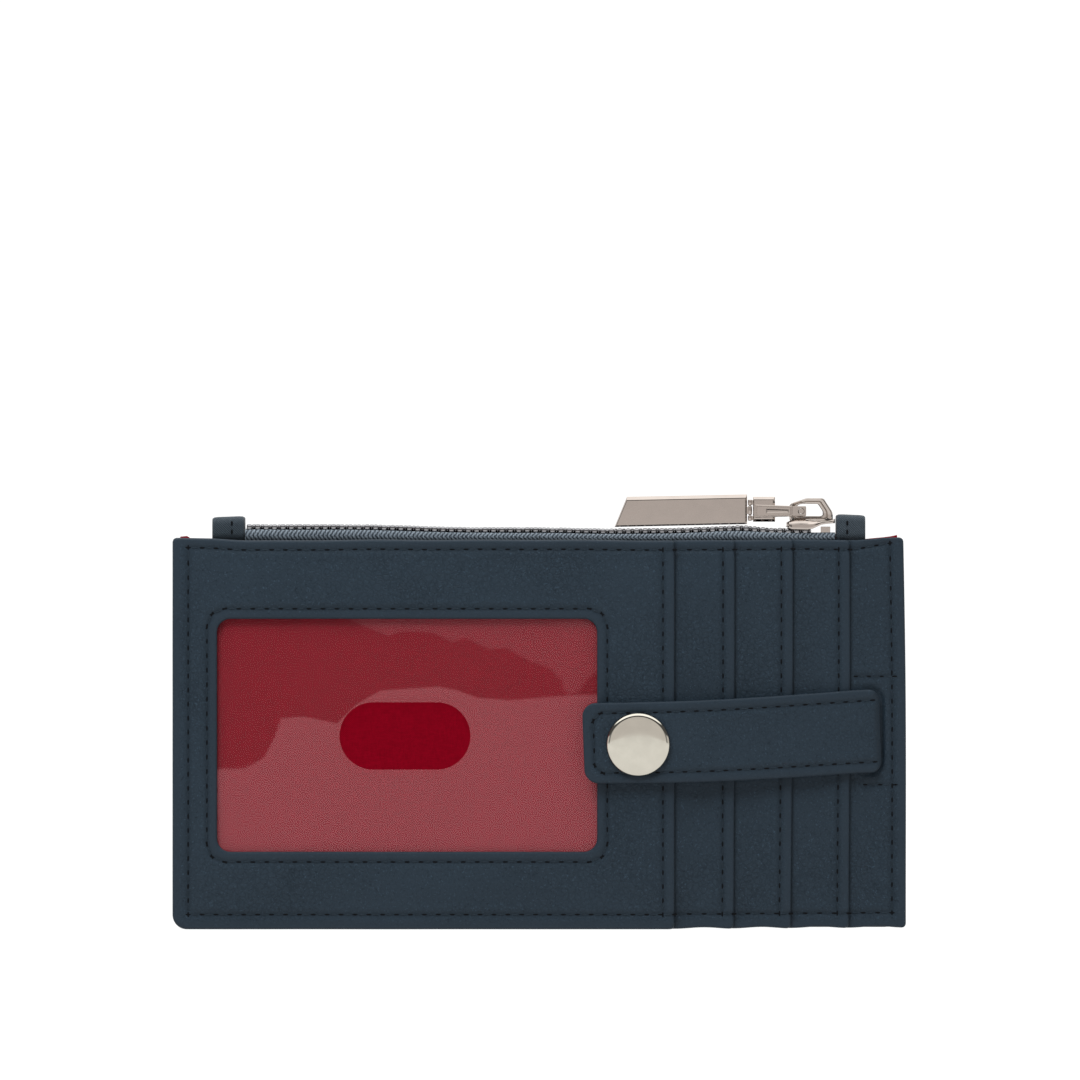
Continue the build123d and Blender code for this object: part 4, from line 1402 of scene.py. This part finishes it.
pin_hole = (CROSS_PIN[0] - PIN_HOLE, CROSS_PIN[0] + PIN_HOLE, CROSS_PIN[1] - PIN_HOLE, CROSS_PIN[1] + PIN_HOLE)
eye = frame_sheet(
    outline((52.35, 55.35, 85.45, 87.55), (0.3,) * 4, 14),
    outline(pin_hole, (PIN_HOLE,) * 4, 14),
    [0.0, 1.0],
    lambda x, z: CHAIN_Y - ARM_OUT + 0 * x,
    lambda x, z: CHAIN_Y - ARM_IN + 0 * x,
    0.08,
)
eye = (eye[0], eye[1].tolist())
arm = plate(ARM, ARM_LEVELS)
rib = plate(RIB, RIB_LEVELS)
link_parts = [plate(CLIP, both_ways(CLIP_LEVELS)), arm, mirrored(*arm), rib, mirrored(*rib), eye, mirrored(*eye)]
for low, high in ((84.5, 85.6), (87.7, 88.9)):
    link_parts.append(barrel(KNUCKLE_X, low, high, KNUCKLE_BORE - 0.05, KNUCKLE_RADIUS))
    link_parts.append(block(43.96, 44.4, 0.3, low + 0.12, high - 0.12))
plated("puller_link", "link", *merged(link_parts))

loop_low, loop_high = box("slider_loop")
LOOP_HALF = (loop_high[1] - loop_low[1]) / 2
LOOP_CENTRE = (56.2, 86.8)
LOOP_POINTS = 140
loop_outer = [(loop_low[0], loop_low[2]), (loop_high[0], loop_low[2]), (loop_high[0], 86.2), (59.0, loop_high[2])]
loop_outer += [(55.4, loop_high[2]), (loop_low[0], 88.0)]
loop_hole = [(53.5, 85.5), (58.8, 85.5), (58.8, 86.5), (57.8, 88.0), (54.3, 88.0), (53.5, 87.7)]
outer = seen_from(LOOP_CENTRE, loop_outer, LOOP_POINTS, 2)
hole = seen_from(LOOP_CENTRE, loop_hole, LOOP_POINTS, 2)
# Ridged band: (share of the way from the hole to the outside, half thickness).
BAND = [(0.0, 0.55), (0.08, 0.74), (0.34, 0.78), (0.42, 0.62), (0.50, 0.80), (0.80, 0.93), (0.90, 0.88), (1.0, 0.55)]
band = [(t, -half) for t, half in BAND] + [(t, half) for t, half in BAND[::-1]]
points = np.concatenate([at_depth(hole + (outer - hole) * t, CHAIN_Y + y) for t, y in band])
plated("slider_loop", "slider", points, quads(LOOP_POINTS, len(band), closed=True).tolist(), 0.03)


SLIDER_XS = [51.2, 51.35, 51.7, 52.3, 53.1, 54.2, 55.5, 56.6, 57.5, 58.4, 59.3, 60.1, 60.7, 61.1, 61.3]
SLIDER_CROWN = [(51.2, 84.2), (52.6, 84.85), (55.6, 84.95), (57.6, 84.6), (59.2, 84.55), (61.3, 85.0)]
SLIDER_SKIRT = [(51.2, 83.3), (52.2, 82.75), (56.2, 82.65), (57.6, 83.3), (58.6, 83.75), (61.3, 84.0)]
CHAIN_CLEAR = 83.15
slider_low, slider_high = box("slider_body")
sections = []
for x in SLIDER_XS:
    end = min(x - SLIDER_XS[0], SLIDER_XS[-1] - x)
    blunt = 0.62 + 0.38 * math.sqrt(1 - (1 - min(end / 1.6, 1)) ** 2)
    half = (3.2 + 0.4 * (x - SLIDER_XS[0]) / 10.1) * blunt
    crown, skirt = np.interp(x, *zip(*SLIDER_CROWN)), np.interp(x, *zip(*SLIDER_SKIRT))
    inner = max(CHAIN_CLEAR, skirt + 0.08)
    wall = min(0.5, half * 0.2)
    over = [(half * math.cos(a) ** 0.55, (crown - skirt - 0.35) * math.sin(a) ** 0.7) for a in np.linspace(0, math.pi / 2, 8)]
    right_side = [(half - 0.08, skirt)] + [(y, skirt + 0.35 + z) for y, z in over]
    left_side = [(-y, z) for y, z in right_side[-2::-1]]
    hollow = [(-half + wall, skirt), (-half + wall, inner), (0.0, inner), (half - wall, inner), (half - wall, skirt)]
    loop = np.array(right_side + left_side + hollow)
    sections.append(at_x(x, loop + (CHAIN_Y, 0)))
crown_part = loft(sections)
under = outline((slider_low[0], slider_high[0], CHAIN_Y - 2.2, CHAIN_Y + 2.2), (1.0,) * 4, 10)
heights = [(slider_low[2], 0.93), (slider_low[2] + 0.2, 1.0), (81.1, 1.0), (81.3, 0.95)]
middle = np.array([(slider_low[0] + slider_high[0]) / 2, CHAIN_Y])
sections = []
for z, share in heights:
    at = middle + (under - middle) * share
    sections.append(np.stack([at[:, 0], at[:, 1], np.full(len(at), z)], 1))
under_part = turned_over(*loft(sections))
wedge = block(58.4, 60.4, 0.45, 81.2, 83.3)
plated("slider_body", "slider", *merged([crown_part, under_part, wedge]), 0.03)


# ---- CAD nodes that stay, with their finish ----

METAL_NODES = {"link_cross_pin": nickel, "bar_pin": nickel}
METAL_NODES |= dict.fromkeys(("snap_stud", "snap_socket", "snap_stud_rivet"), snap_nickel)
for name, paint in METAL_NODES.items():
    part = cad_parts[name]
    part.data.materials.clear()
    part.data.materials.append(paint)
    fine_edges(part, 0.12, 3, 30)


# ---- Floor, world, lights and camera ----

FLOOR_REACH = 40.0
stage_paint, _, stage_shader = material("stage_white")
fill(stage_shader, {"Base Color": (0.06, 0.06, 0.06, 1), "Roughness": 0.9, "Specular IOR Level": 0.0})
fill(stage_shader, {"Emission Color": (1, 1, 1, 1), "Emission Strength": 1.0})
floor_mesh = bpy.data.meshes.new("floor")
floor_corners = [(x * FLOOR_REACH, y * FLOOR_REACH, 0) for x, y in ((-1, -1), (1, -1), (1, 1), (-1, 1))]
floor_mesh.from_pydata(floor_corners, [], [(0, 1, 2, 3)])
floor = bpy.data.objects.new("floor", floor_mesh)
floor_mesh.materials.append(stage_paint)
bpy.context.scene.collection.objects.link(floor)

WORLD_FRONT = (0.83, 0.80, 0.79)
WORLD_BAND = (0.10, 0.10, 0.10)
WORLD_HIGH = (1.85, 1.85, 1.85)
WORLD_SIDE = (0.30, 0.30, 0.30)
WORLD_BACK = (1.08, 1.08, 1.08)
world = bpy.data.worlds.new("studio")
bpy.context.scene.world = world
world.use_nodes = True
tree = world.node_tree
axes = add(tree, "SeparateXYZ", {"Vector": add(tree, "TexCoord").outputs["Generated"]})
away = ramp(axes.outputs["Y"], 0.25, 0.75)
sideways = maths("ABSOLUTE", axes.outputs["X"])
flag = times(ramp(sideways, 0.36, 0.46), ramp(sideways, 0.86, 0.76))
front_colour = mix(flag, WORLD_FRONT, WORLD_SIDE)
front_colour = mix(ramp(axes.outputs["Z"], 0.20, 0.27), front_colour, WORLD_BAND)
front_colour = mix(ramp(axes.outputs["Z"], 0.58, 0.70), front_colour, WORLD_HIGH)
fill(tree.nodes["Background"], {"Color": mix(away, front_colour, WORLD_BACK)})


def softbox(name, where, target, size, power):
    lamp = bpy.data.lights.new(name, "AREA")
    lamp.shape = "RECTANGLE"
    lamp.size, lamp.size_y = size
    lamp.energy = power
    made = bpy.data.objects.new(name, lamp)
    made.location = where
    made.rotation_euler = (Vector(target) - Vector(where)).to_track_quat("-Z", "Y").to_euler()
    made.visible_glossy = False
    bpy.context.scene.collection.objects.link(made)


softbox("top_light", (0.0, -0.15, 0.95), (0, 0, 0.04), (1.1, 0.7), 4.0)
softbox("key_light", (-0.30, -0.75, 0.80), (0, 0, 0.04), (0.45, 0.45), 9.0)

LENS = 200.0
SENSOR = 36.0
VIEW_HEIGHT = 0.0805
VIEW_DISTANCE = 1.239
camera_data = bpy.data.cameras.new("camera")
camera_data.lens = LENS
camera_data.sensor_width = SENSOR
camera_data.clip_start = 0.05
camera_data.clip_end = 200
camera = bpy.data.objects.new("camera", camera_data)
camera.location = (0.0, PANEL_FACES[0] * MM - VIEW_DISTANCE, VIEW_HEIGHT)
camera.rotation_euler = (math.pi / 2, 0, 0)
bpy.context.scene.collection.objects.link(camera)
bpy.context.scene.camera = camera

bpy.context.scene.view_settings.view_transform = "Standard"
bpy.context.scene.view_settings.look = "None"

bpy.context.view_layer.update()
